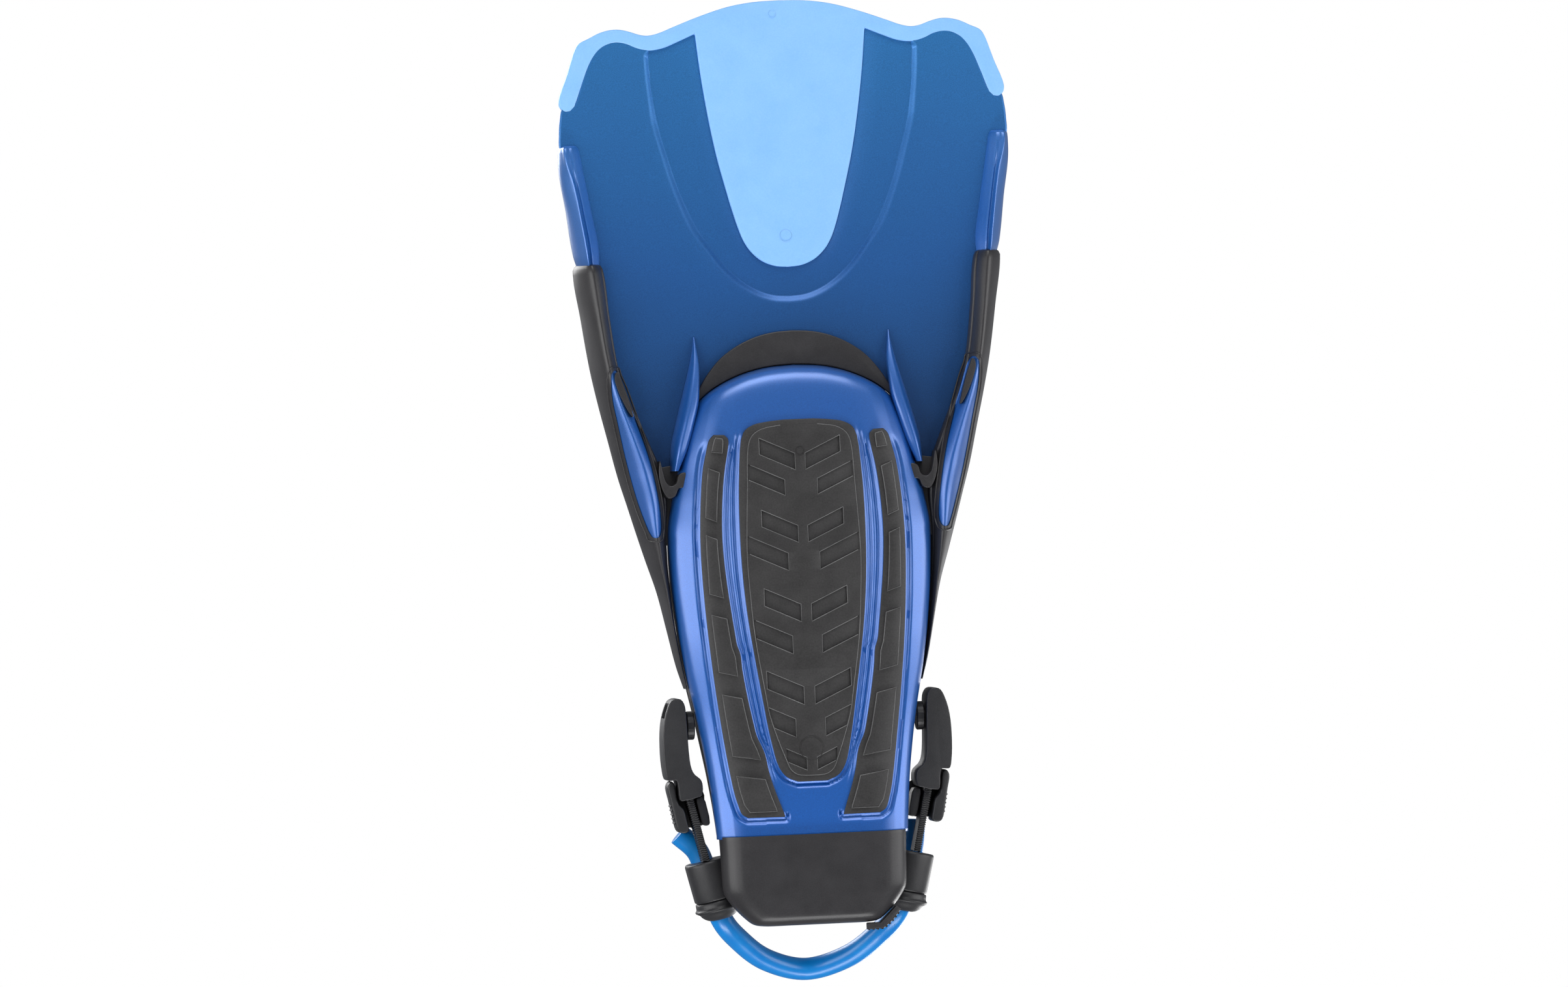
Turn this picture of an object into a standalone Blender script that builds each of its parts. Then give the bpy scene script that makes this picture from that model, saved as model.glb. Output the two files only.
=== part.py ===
"""Open-heel swim fin with a ratchet heel strap.

The fin lies sole down on Z = 0. The blade points to -Y and the heel to +Y, and X runs
across it. Tables hold millimetres: a half width from the middle line, a distance along
the fin from the blade's tip, and a height above the floor.
"""

import math

import bmesh
import bpy
from mathutils import Vector

MM = 0.001
NOMINAL_LENGTH = 500.0
NOMINAL_SPAN = 246.0
NOMINAL_TUBE = 0.0122

# Driving sizes, in metres.
BODY_LENGTH = 0.500
RAIL_SPAN = 0.246
LOOP_REACH = 0.033
BLADE_THICKNESS = 0.0028
CHANNEL_DEPTH = 0.0018
TIP_RUBBER_THICKNESS = 0.0046
SOLE_THICKNESS = 0.0030
TREAD_RISE = 0.0022
TREAD_BEDDING = 0.0003
POCKET_WALL = 0.0034
INSTEP_HEIGHT = 0.096
HEEL_WALL = 0.0045
HEEL_RIM_HEIGHT = 0.018
POST_DIAMETER = 0.0155
STEM_DIAMETER = 0.008
POST_HEIGHT = 0.030
BUCKLE_HEIGHT = 0.023
STRAP_WIDTH = 0.015
STRAP_THICKNESS = 0.0036
TOOTH_PITCH = 0.0024
TOOTH_DEPTH = 0.0009
HOUSING_WIDTH = 0.0232
HOUSING_HEIGHT = 0.032
TUBE_DIAMETER = 0.0122
PIN_DIAMETER = 0.0020
FIT_GAP = 0.0003
RUNNING_GAP = 0.0005
RIM_GAP = 0.0007

ALONG = BODY_LENGTH / (NOMINAL_LENGTH * MM)
ACROSS = RAIL_SPAN / (NOMINAL_SPAN * MM)
MIDDLE = (BODY_LENGTH + LOOP_REACH) / 2

# Plan curves of the blade end: (half width, distance from the tip).
TIP_OUTER = [
    (0, 0.0), (14, 0.5), (28, 2.6), (44, 7.3), (58, 12.4), (66, 15.4), (71.5, 16.5),
    (76, 16.0), (82, 14.0), (87, 12.8), (92, 12.8), (98, 14.2), (104, 17.0),
    (109.3, 19.6), (111.4, 22.6), (116.2, 36.0), (121.2, 49.6), (120.9, 53.4),
    (118.4, 56.0), (115.2, 55.8),
]
TIP_INNER = [
    (112.8, 53.4), (108.5, 42.0), (104.7, 32.4), (101.5, 26.8), (98.0, 23.0),
    (93.6, 20.6), (89.0, 19.9), (84.0, 20.8), (78.0, 23.4), (72.3, 24.6),
    (64.0, 23.6), (55.0, 20.2), (46.2, 16.5),
]
TONGUE = [
    (46.2, 16.5), (45.2, 27.0), (43.8, 40.0), (41.6, 56.0), (39.0, 72.0),
    (36.2, 86.0), (33.0, 99.0), (29.9, 111.0), (26.3, 123.0), (23.7, 129.5),
    (20.2, 135.0), (14.5, 140.2), (7.5, 143.2), (0, 144.0),
]
CHANNEL = [
    (72.4, 24.6), (71.6, 40.0), (69.6, 56.0), (66.4, 72.0), (62.4, 86.0),
    (57.8, 101.0), (52.4, 114.0), (46.6, 125.0), (40.4, 134.6), (33.4, 143.2),
    (25.6, 150.4), (17.2, 155.6), (8.6, 158.6), (0, 159.4),
]
BLADE_REAR = [
    (114.0, 56.9), (121.6, 57.2), (121.9, 66.0), (121.4, 73.2), (112.4, 74.4),
    (109.4, 80.0), (107.4, 92.0), (105.2, 110.0), (102.4, 130.0), (99.7, 150.0),
    (97.3, 172.0), (94.2, 195.0), (88.3, 214.0), (79.9, 234.0), (73.2, 251.0),
    (71.8, 256.6), (69.4, 258.8), (66.7, 257.4), (65.6, 252.0), (62.0, 237.0),
    (58.4, 226.0), (54.8, 216.0), (51.6, 207.0), (47.0, 200.2), (39.0, 191.6),
    (29.0, 184.8), (19.0, 180.6),
    (9.5, 178.6), (0, 178.0),
]
SOLE_SIDE = [
    (53.5, 216.0), (58.2, 228.0), (62.0, 240.0), (65.0, 254.0), (69.0, 270.0),
    (71.6, 288.0), (70.8, 310.0), (68.0, 339.0), (64.9, 360.0), (60.6, 382.0),
    (57.0, 403.0), (54.2, 424.0), (53.0, 437.0), (52.0, 450.0),
]
CRESCENT_FRONT = [
    (0, 178.4), (9.5, 179.0), (19.0, 181.0), (29.0, 185.2), (39.0, 192.0),
    (46.6, 200.6), (51.0, 207.4), (53.2, 213.0),
]
SOLE_FRONT = [
    (0, 197.0), (12.0, 197.7), (24.0, 200.0), (36.0, 204.4), (46.0, 210.0), (53.5, 216.0),
]
SOLE_BOTTOM = [
    (197.0, 15.5), (198.2, 9.6), (201.5, 5.6), (208.0, 3.4), (218.0, 2.5), (232.0, 2.2),
    (340.0, 2.2), (370.0, 3.4), (400.0, 4.4), (425.0, 3.8), (450.0, 2.4),
]
SOLE_RIM = [(197.0, 24.0), (380.0, 24.0), (425.0, 20.0), (450.0, 18.0)]
# Rise of the sole's side over its bottom, as shares of half width and of rim height.
SOLE_SECTION = [
    (0, 0), (0.25, 0), (0.5, 0), (0.7, 0.03), (0.84, 0.12), (0.93, 0.29),
    (0.98, 0.50), (1.0, 0.74), (1.0, 1.0),
]

# Rail stations: distance, inner and outer half width, lowest and highest point.
RAIL_CORE = [
    (75.0, 114.0, 119.6, 12.6, 16.0), (76.4, 112.2, 121.8, 10.0, 19.0),
    (84.0, 110.4, 122.8, 8.6, 23.0), (110.0, 106.0, 119.2, 6.6, 29.0),
    (137.4, 102.3, 115.6, 5.2, 33.0), (138.4, 104.8, 112.8, 9.6, 30.0),
    (168.0, 101.0, 109.2, 9.4, 33.0), (190.0, 97.0, 103.0, 9.4, 36.0),
    (200.0, 94.8, 99.4, 9.4, 38.0), (225.0, 87.2, 96.4, 8.2, 40.0),
    (245.0, 81.4, 92.4, 8.0, 41.0), (265.0, 77.8, 87.4, 9.0, 41.0),
    (280.0, 76.4, 82.6, 11.0, 40.0), (284.0, 77.2, 80.6, 13.0, 38.0),
]
RAIL_RUBBER = [
    (139.0, 102.4, 115.6, 5.0, 33.6), (141.0, 101.2, 116.6, 3.8, 35.0),
    (168.0, 98.4, 113.2, 3.4, 38.5), (195.0, 94.8, 109.2, 3.4, 42.0),
    (214.0, 88.9, 105.4, 3.6, 44.0), (234.0, 80.5, 100.8, 4.2, 45.5),
    (254.0, 73.4, 96.2, 5.2, 46.0), (270.0, 71.2, 91.6, 6.6, 46.0),
    (288.0, 72.2, 86.4, 8.6, 45.6), (300.0, 72.0, 82.8, 10.6, 45.0),
    (318.0, 70.9, 77.2, 13.0, 44.0), (339.0, 68.8, 72.6, 16.0, 42.0),
    (358.0, 65.8, 68.6, 19.0, 39.0), (370.0, 63.6, 65.2, 22.0, 35.0),
]
# Ring shapes as shares of width and height.
LENS = [
    (0, 0.35), (0.05, 0.12), (0.28, 0), (0.55, 0.03), (0.82, 0.25), (1, 0.55),
    (0.95, 0.80), (0.70, 1), (0.35, 0.97), (0.10, 0.80), (0, 0.60),
]
SLAB = [
    (0, 0.30), (0, 0), (0.3, 0), (0.6, 0), (1, 0), (1, 0.55),
    (1, 1), (0.7, 1), (0.35, 1), (0, 1), (0, 0.60),
]
WINDOW_FRONT = 198.0

# Instep rows: distance on the middle line, distance at the edge, highest point.
INSTEP_ROWS = [
    (179.4, 216.8, 22.2), (181.0, 219.0, 30.0), (185.0, 224.0, 38.0),
    (195.0, 232.0, 46.0), (210.0, 242.0, 52.0), (228.0, 254.0, 59.0),
    (248.0, 268.0, 67.0), (268.0, 284.0, 75.0), (288.0, 300.0, 83.0),
    (305.0, 314.0, 89.0), (320.0, 327.0, 94.0), (331.0, 337.0, 96.0),
]
WALL_ROWS = [
    (346.0, 63.0), (357.0, 56.0), (371.0, 50.5), (386.0, 47.0), (401.0, 43.0),
    (418.0, 35.0), (435.0, 26.5), (449.8, 20.5),
]
INSTEP_COLUMNS = 20
WALL_COLUMNS = 4

CENTRE_TREAD = [
    (227.4, 17.0), (229.0, 25.0), (233.0, 30.2), (254.0, 33.2), (297.0, 34.0),
    (331.0, 31.9), (373.0, 26.0), (400.0, 21.6), (414.0, 19.0), (419.6, 16.0),
    (423.0, 10.0),
]
# Side tread: distance, inner and outer half width.
SIDE_TREAD = [
    (233.0, 38.4, 46.6), (237.0, 38.0, 49.0), (254.0, 41.5, 53.0),
    (288.0, 43.2, 54.8), (322.0, 41.0, 54.4), (360.0, 36.6, 51.6),
    (403.0, 29.6, 46.4), (426.0, 23.6, 43.2), (441.0, 18.0, 40.4),
]
HEEL_OUTLINE = [
    (50.8, 450.6), (50.4, 460.0), (50.2, 470.0), (49.4, 481.0), (44.0, 489.6),
    (36.0, 497.2), (28.0, 500.0), (14.0, 500.0), (0, 500.0),
]
HEEL_PROFILE = [
    (0, 0), (0.4, 0), (0.75, 0), (0.88, 0.5), (0.95, 2.4), (0.985, 5.2), (1, 9.0),
]
HEEL_SPINE_END = 474.0
FOOTBED = [
    (212.0, 29.0), (218.0, 36.0), (230.0, 40.5), (254.0, 45.0), (288.0, 49.0),
    (330.0, 47.6), (370.0, 43.6), (403.0, 40.2), (430.0, 37.8), (449.0, 37.0),
    (466.0, 36.4), (478.0, 33.0), (486.0, 25.0),
]

# Hardware of the right side, laid out from the post and from the heel.
POST_AT = 390.0
WALL_AT_POST = 59.1
BUCKLE_OUTLINE = [
    (65.9, 380.4), (67.2, 376.6), (69.4, 375.0), (73.7, 376.0), (76.2, 381.6),
    (78.0, 388.0), (78.7, 396.0), (78.7, 408.0), (77.8, 417.6), (76.4, 419.0),
    (71.8, 418.8), (70.8, 430.6), (58.4, 427.6), (58.4, 419.6), (63.0, 415.8),
    (64.7, 408.0), (65.2, 398.0),
]
LEVER_OUTLINE = [
    (73.2, 420.4), (74.6, 419.6), (76.4, 420.8), (77.0, 423.6), (75.8, 429.0),
    (72.8, 445.4), (70.6, 447.8), (67.2, 447.8), (66.0, 446.2), (68.6, 434.6),
    (71.4, 432.0),
]
LEVER_PIN_AT = (74.6, 423.6)
SLOT_AT = (64.8, 430.6)
STRAP_END_AT = (57.4, 463.6)
STRAP_TAIL = 29.0
HOUSING_LENGTH = 22.0
PLUG_LENGTH = 11.0


def along(distance):
    return distance * MM * ALONG - MIDDLE


def place(x, distance, z):
    return Vector((x * MM * ACROSS, along(distance), z * MM))


def at_post(x, distance, z):
    """A point of the buckle, which keeps its size when the fin grows."""
    root = place(WALL_AT_POST, POST_AT, 0)
    return root + Vector(((x - WALL_AT_POST) * MM, (distance - POST_AT) * MM, z * MM))


def at_heel(x, distance, z):
    """A point of the strap's end, which follows the heel's corner."""
    root = place(50.2, NOMINAL_LENGTH, 0)
    return root + Vector(((x - 50.2) * MM, (distance - NOMINAL_LENGTH) * MM, z * MM))


def table(rows, key, column, value):
    """Straight-line reading of one column of a table against another."""
    ordered = sorted(rows, key=lambda row: row[key])
    if value <= ordered[0][key]:
        return ordered[0][column]
    for low, high in zip(ordered, ordered[1:]):
        if value <= high[key]:
            share = (value - low[key]) / (high[key] - low[key])
            return low[column] + share * (high[column] - low[column])
    return ordered[-1][column]


def side_at(distance):
    return table(SOLE_SIDE, 1, 0, distance)


def rim_at(distance):
    return table(SOLE_RIM, 0, 1, distance)


def blade_middle(distance):
    """Height of the blade's middle plane, which rises gently from tip to foot."""
    return 12.0 + distance * 8.0 / 180.0


def sole_height(x, distance):
    """Height of the sole plate's underside."""
    bottom = table(SOLE_BOTTOM, 0, 1, distance)
    share = table(SOLE_SECTION, 0, 1, min(abs(x) / side_at(distance), 1.0))
    return bottom + share * (rim_at(distance) - bottom)


def resample(points, count):
    """Points spaced evenly along a line of points."""
    spans = [math.dist(a, b) for a, b in zip(points, points[1:])]
    total = sum(spans)
    found = []
    for step in range(count):
        target = total * step / (count - 1)
        index = 0
        while index < len(spans) - 1 and target > spans[index]:
            target -= spans[index]
            index += 1
        share = min(target / spans[index], 1.0)
        a, b = points[index], points[index + 1]
        found.append(tuple(p + (q - p) * share for p, q in zip(a, b)))
    return found


def clear_scene():
    for old in list(bpy.data.objects):
        bpy.data.objects.remove(old)


def new_collection(name):
    group = bpy.data.collections.new(name)
    bpy.context.scene.collection.children.link(group)
    return group


def new_material(name, colour, roughness, metallic=0.0):
    made = bpy.data.materials.new(name)
    made.use_nodes = True
    shader = made.node_tree.nodes["Principled BSDF"]
    shader.inputs["Base Color"].default_value = (*colour, 1.0)
    shader.inputs["Roughness"].default_value = roughness
    shader.inputs["Metallic"].default_value = metallic
    made.diffuse_color = (*colour, 1.0)
    return made


def new_object(name, mesh, material, group, sharp=math.radians(35)):
    made = bpy.data.objects.new(name, mesh)
    mesh.materials.clear()
    mesh.materials.append(material)
    mesh.shade_smooth()
    mesh.set_sharp_from_angle(angle=sharp)
    group.objects.link(made)
    return made


def mesh_from(name, points, faces, close=True):
    """A mesh with doubled points joined, its faces turned outwards if it is closed."""
    shape = bmesh.new()
    corners = [shape.verts.new(point) for point in points]
    for face in faces:
        kept = [i for k, i in enumerate(face) if tuple(points[i]) != tuple(points[face[k - 1]])]
        if len(kept) > 2:
            shape.faces.new([corners[i] for i in kept])
    bmesh.ops.remove_doubles(shape, verts=shape.verts, dist=0.00002)
    if close:
        bmesh.ops.recalc_face_normals(shape, faces=shape.faces)
    mesh = bpy.data.meshes.new(name)
    shape.to_mesh(mesh)
    shape.free()
    return mesh


def mirrored(mesh, name):
    """The left-hand copy of a right-hand mesh."""
    other = mesh.copy()
    other.name = name
    for vertex in other.vertices:
        vertex.co.x = -vertex.co.x
    other.flip_normals()
    return other


def grid_faces(rows, columns, closed=False):
    faces = []
    last = columns if closed else columns - 1
    for i in range(rows - 1):
        for j in range(last):
            k = (j + 1) % columns
            a, b = i * columns + j, i * columns + k
            faces.append((a, b, b + columns, a + columns))
    return faces


def loft(name, rings):
    """A closed solid through rings of the same number of points."""
    count = len(rings[0])
    points = [point for ring in rings for point in ring]
    faces = grid_faces(len(rings), count, closed=True)
    faces.append(tuple(reversed(range(count))))
    faces.append(tuple(range(len(points) - count, len(points))))
    return mesh_from(name, points, faces)


def prism(name, low, high):
    """A closed solid between two outlines of the same number of points."""
    return loft(name, [low, high])


def sheet(name, grid, thickness, group, material, side=1.0):
    """An open surface given its thickness on one side by Solidify."""
    points = [point for row in grid for point in row]
    mesh = mesh_from(name, points, grid_faces(len(grid), len(grid[0])), close=False)
    made = new_object(name, mesh, material, group)
    add_thickness(made, thickness, side)
    return made


def add_thickness(made, thickness, side, even=True):
    solid = made.modifiers.new("Thickness", "SOLIDIFY")
    solid.thickness = thickness
    solid.offset = side
    solid.use_even_offset = even


def pair(name, mesh, material, group):
    """A right-hand object and its left-hand twin."""
    right = new_object(name + "_right", mesh, material, group)
    left = new_object(name + "_left", mirrored(mesh, name + "_left"), material, group)
    return right, left


def cut(target, cutter):
    hole = target.modifiers.new("Cut", "BOOLEAN")
    hole.operation = "DIFFERENCE"
    hole.solver = "EXACT"
    hole.object = cutter


def new_cutter(name, mesh, group):
    made = bpy.data.objects.new(name, mesh)
    made.hide_render = True
    made.display_type = "WIRE"
    group.objects.link(made)
    return made


def build_blade(group, material):
    """A half blade as spokes from the notch's edge to the outer edge, then mirrored."""
    gap = 0.6
    front = [(x, t + 0.4) for x, t in reversed(TIP_INNER)][1:]
    outer = front + BLADE_REAR
    count = len(outer)
    notch = resample(TONGUE, 60)
    channel = resample(CHANNEL, 60)
    points = []
    for index in range(count):
        share = spoke_share(index, count)
        inner = sample(notch, share)
        step = sample(channel, share)
        edge = outer[index]
        points.extend(spoke(inner, step, edge, gap))
    columns = len(points) // count
    verts = []
    for x, t, lift in points:
        verts.append(place(x, t, blade_middle(t) + lift))
    faces = grid_faces(count, columns)
    shift = len(verts)
    verts += [Vector((-v.x, v.y, v.z)) for v in verts]
    faces += [tuple(reversed([i + shift for i in face])) for face in faces]
    mesh = mesh_from("blade", verts, faces, close=False)
    made = new_object("blade", mesh, material, group)
    add_thickness(made, BLADE_THICKNESS, 0.0, even=False)
    return made


def spoke_share(index, count):
    """Where a spoke starts on the notch, from the tongue's corner to its rounded end."""
    keys = [
        (0, 0.02), (12, 0.27), (16, 0.38), (22, 0.60), (26, 0.66), (29, 0.69),
        (33, 0.73), (35, 0.77), (count - 1, 1.0),
    ]
    return table(keys, 0, 1, index)


def sample(points, share):
    place_on = share * (len(points) - 1)
    low = min(int(place_on), len(points) - 2)
    part = place_on - low
    a, b = points[low], points[low + 1]
    return (a[0] + (b[0] - a[0]) * part, a[1] + (b[1] - a[1]) * part)


def spoke(inner, step, edge, gap):
    """Points of one spoke: notch edge, channel floor, channel step, then the outer field."""
    lift = CHANNEL_DEPTH / MM
    reach = math.dist(step, edge)
    toward = ((edge[0] - step[0]) / reach, (edge[1] - step[1]) / reach) if reach > 1 else (0, 0)
    away = math.dist(inner, step)
    out = ((step[0] - inner[0]) / away, (step[1] - inner[1]) / away)
    start = (inner[0] + out[0] * gap, inner[1] + out[1] * gap)
    ramp = min(4.0, reach * 0.45)
    crest = (step[0] + toward[0] * ramp, step[1] + toward[1] * ramp)
    found = [(*start, lift)]
    found.append(((start[0] + step[0]) / 2, (start[1] + step[1]) / 2, lift))
    found.append((*step, lift))
    found.append((*crest, 0.0))
    for share in (0.33, 0.67, 1.0):
        x = crest[0] + (edge[0] - crest[0]) * share
        t = crest[1] + (edge[1] - crest[1]) * share
        found.append((x, t, 0.0))
    return found


def build_tip_rubber(group, material):
    half = TIP_OUTER + TIP_INNER + TONGUE[1:]
    outline = half + [(-x, t) for x, t in reversed(half[1:-1])]
    thick = TIP_RUBBER_THICKNESS / MM / 2
    rings = []
    for rise in (-thick, thick):
        rings.append([place(x, t, blade_middle(t) + 0.6 + rise) for x, t in outline])
    return new_object("tip_rubber", prism("tip_rubber", *rings), material, group)


def rail_ring(station, shape, grow=0.0):
    t, inner, outer, low, high = station
    inner, outer, low, high = inner - grow, outer + grow, low - grow, high + grow
    return [
        place(inner + u * (outer - inner), t, low + v * (high - low)) for u, v in shape
    ]


def build_rails(group, cutters, plastic, rubber):
    core = loft("rail_core_right", [rail_ring(s, LENS) for s in RAIL_CORE])
    pair("rail_core", core, plastic, group)
    sleeve = loft("rail_rubber_right", [rail_ring(s, LENS) for s in RAIL_RUBBER])
    gap = FIT_GAP / MM + 0.1
    rings = []
    hidden = [s for s in RAIL_CORE if 138.0 < s[0] < WINDOW_FRONT]
    first = (136.0, *hidden[0][1:])
    for station in [first, *hidden, (WINDOW_FRONT, 95.4, 100.2, 9.4, 38.0)]:
        rings.append(rail_ring(station, SLAB, gap))
    window = [(WINDOW_FRONT + 0.6, 94.8, 100.6)]
    window += [(s[0], s[1], s[2]) for s in RAIL_CORE if s[0] > WINDOW_FRONT]
    window.append((285.2, 78.0, 80.0))
    for t, inner, outer in window:
        rings.append(rail_ring((t, inner, outer, -20.0, 80.0), SLAB, gap))
    shape = loft("window_right", rings)
    for side, mesh in (("right", shape), ("left", mirrored(shape, "window_left"))):
        body = sleeve if side == "right" else mirrored(sleeve, "rail_rubber_left")
        made = new_object("rail_rubber_" + side, body, rubber, group)
        cut(made, new_cutter("window_" + side, mesh, cutters))


def build_window_inserts(group, material):
    inner = [(198.6, 95.6), (206.0, 93.4), (214.0, 91.2), (222.0, 89.8)]
    outer = [(198.6, 98.6), (206.0, 98.2), (214.0, 95.4), (222.0, 91.2)]
    outline = [(x, t) for t, x in inner] + [(x, t) for t, x in reversed(outer)]
    low = [place(x, t, 4.6) for x, t in outline]
    high = [place(x, t, 7.6) for x, t in outline]
    pair("window_insert", prism("window_insert_right", low, high), material, group)


def build_bridges(group, material):
    inner = [(side_at(t) + 0.5, t) for t in (253.0, 259.0, 266.0)]
    outer = [(70.6, 266.0), (72.4, 259.0), (73.0, 253.0)]
    outline = inner + outer
    low = [place(x, t, 10.0) for x, t in outline]
    high = [place(x, t, 21.4) for x, t in outline]
    pair("bridge", prism("bridge_right", low, high), material, group)


def build_spine_ribs(group, material):
    stations = [
        (182.0, 52.6, 53.6, 17.4, 18.2), (196.0, 52.2, 56.0, 12.6, 18.8),
        (212.0, 54.6, 60.4, 8.8, 19.4), (228.0, 59.2, 65.0, 7.0, 20.2),
        (240.0, 62.8, 67.6, 7.0, 20.8), (251.0, 65.2, 68.6, 8.0, 21.2),
    ]
    shape = [(0, 0.35), (0.3, 0), (0.7, 0), (1, 0.35), (1, 1), (0, 1)]
    rings = []
    for t, inner, outer, low, high in stations:
        ring = []
        for u, v in shape:
            ring.append(place(inner + u * (outer - inner), t, low + v * (high - low)))
        rings.append(ring)
    pair("spine_rib", loft("spine_rib_right", rings), material, group)


def build_toe_crescent(group, material):
    half = CRESCENT_FRONT
    rear = [(x, t - 0.4) for x, t in SOLE_FRONT[:-1]] + [(52.6, 214.4)]
    front = [(-x, t) for x, t in reversed(half[1:])] + half
    back = list(reversed(rear)) + [(-x, t) for x, t in rear[1:]]
    outline = front + back
    low = [place(x, t, 15.6) for x, t in outline]
    high = [place(x, t, 20.2) for x, t in outline]
    new_object("toe_crescent", prism("toe_crescent", low, high), material, group)


def build_sole_plate(group, material):
    """A tray: rows from the curled front edge to the heel, columns across."""
    grid = []
    rows = [197.0, 198.2, 201.5, 208.0, 218.0, 232.0, 246.0, 262.0, 278.0, 296.0]
    rows += [316.0, 336.0, 356.0, 376.0, 396.0, 416.0, 434.0, 449.8]
    section = [(-u, v) for u, v in reversed(SOLE_SECTION[1:])] + SOLE_SECTION
    for t in rows:
        fade = max(0.0, 1.0 - (t - 197.0) / 50.0)
        edge = t + 19.0 * fade
        half = side_at(edge)
        bottom = table(SOLE_BOTTOM, 0, 1, t)
        row = []
        for u, v in section:
            x = u * half
            bend = table(SOLE_FRONT, 0, 1, min(abs(x), 53.5)) - 197.0
            row.append(place(x, t + bend * fade, bottom + v * (rim_at(t) - bottom)))
        grid.append(row)
    sheet("sole_plate", grid, SOLE_THICKNESS, group, material)


def build_treads(group, material):
    rise = TREAD_RISE / MM
    thick = TREAD_RISE - FIT_GAP - TREAD_BEDDING
    grid = []
    for t, half in CENTRE_TREAD:
        row = []
        for share in (-1, -0.5, 0, 0.5, 1):
            x = share * half
            row.append(place(x, t, sole_height(x, t) - rise))
        grid.append(row)
    sheet("centre_tread", grid, thick, group, material)
    for name, sign in (("side_tread_right", 1), ("side_tread_left", -1)):
        grid = []
        for t, inner, outer in SIDE_TREAD:
            row = []
            for share in (0, 0.33, 0.67, 1):
                x = inner + share * (outer - inner)
                row.append(place(sign * x, t, sole_height(x, t) - rise))
            grid.append(row if sign > 0 else row[::-1])
        sheet(name, grid, thick, group, material)


def build_pocket_upper(group, material):
    """The instep cover is a vault, and its sides run back to the heel as two walls."""
    points = []
    faces = []
    columns = INSTEP_COLUMNS + 1
    top_scale = INSTEP_HEIGHT / MM / 96.0
    gap = RIM_GAP / MM * max(1.0, ALONG)
    for index, (middle, edge, top) in enumerate(INSTEP_ROWS):
        half = side_at(edge)
        rim = rim_at(edge) + gap + max(0.0, 3.6 * ALONG - 0.8 * index)
        crown = max(top * top_scale, 22.2)
        for j in range(columns):
            angle = math.pi * j / INSTEP_COLUMNS
            c, s = math.cos(angle), max(math.sin(angle), 0.0)
            x = math.copysign(half * abs(c) ** 0.75, c)
            t = middle + (edge - middle) * (abs(x) / half) ** 2
            points.append(place(x, t, rim + (crown - rim) * s ** 0.8))
    faces += grid_faces(len(INSTEP_ROWS), columns)
    start = (len(INSTEP_ROWS) - 1) * columns
    for right in (True, False):
        previous = [start + (j if right else INSTEP_COLUMNS - j) for j in range(WALL_COLUMNS + 1)]
        for t, top in WALL_ROWS:
            current = []
            rim = rim_at(t) + gap
            for j in range(WALL_COLUMNS + 1):
                share = j / WALL_COLUMNS
                x = side_at(t) * (1 - 0.05 * share * share)
                x = x if right else -x
                current.append(len(points))
                points.append(place(x, t, rim + (top - rim) * share))
            for j in range(WALL_COLUMNS):
                quad = (previous[j], previous[j + 1], current[j + 1], current[j])
                faces.append(quad if right else quad[::-1])
            previous = current
    mesh = mesh_from("pocket_upper", points, faces, close=False)
    made = new_object("pocket_upper", mesh, material, group)
    add_thickness(made, POCKET_WALL, 1.0)


def build_heel_cup(group, material):
    """A tub: each column runs from the middle of the heel out and up to the rim."""
    half = HEEL_OUTLINE
    outline = half + [(-x, t) for x, t in reversed(half[:-1])]
    grid = []
    for x, t in outline:
        spine = min(t, HEEL_SPINE_END)
        column = []
        for share, z in HEEL_PROFILE:
            column.append(place(x * share, spine + (t - spine) * share, z))
        column.append(place(x, t, HEEL_RIM_HEIGHT / MM))
        grid.append(column)
    sheet("heel_cup", grid, HEEL_WALL, group, material)


def build_heel_lug(group, material):
    """A ribbed lug on the heel's right rear corner."""
    outline = [(27.0, 500.4), (34.0, 500.4), (40.4, 494.0), (43.0, 491.4)]
    outline += [(45.4, 493.4), (40.6, 499.4), (35.6, 503.2), (27.0, 503.6)]
    low = [place(x, t, 5.0) for x, t in outline]
    high = [place(x, t, 14.0) for x, t in outline]
    new_object("heel_lug", prism("heel_lug", low, high), material, group)


def build_footbed(group, material):
    grid = []
    above = (SOLE_THICKNESS + FIT_GAP) / MM + 0.3
    for t, half in FOOTBED:
        floor = table(SOLE_BOTTOM, 0, 1, t) + above
        floor = max(floor, HEEL_WALL / MM + 0.4 if t > 449.5 else 0.0)
        row = []
        for share in (-1, -0.6, -0.2, 0.2, 0.6, 1):
            row.append(place(share * half, t, floor + 0.6 * abs(share)))
        grid.append(row)
    sheet("footbed", grid, 0.003, group, material)


def turned_along_x(name, profile, centre, steps=28):
    """A closed solid turned about an axis along X: the profile is (offset, radius)."""
    rings = []
    for offset, radius in profile:
        ring = []
        for k in range(steps):
            angle = 2 * math.pi * k / steps
            turn = Vector((0, math.cos(angle) * radius * MM, math.sin(angle) * radius * MM))
            ring.append(centre + Vector((offset * MM, 0, 0)) + turn)
        rings.append(ring)
    return loft(name, rings)


def build_posts(group, material):
    wide = POST_DIAMETER / MM / 2
    stem = STEM_DIAMETER / MM / 2
    centre = at_post(WALL_AT_POST, POST_AT, 0) + Vector((0, 0, POST_HEIGHT))
    profile = [
        (1.6, wide - 0.6), (2.1, wide), (5.2, wide), (5.7, wide - 0.5),
        (5.7, stem), (10.2, stem), (10.8, stem - 0.6),
    ]
    pair("strap_post", turned_along_x("strap_post_right", profile, centre), material, group)
    return centre


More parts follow.
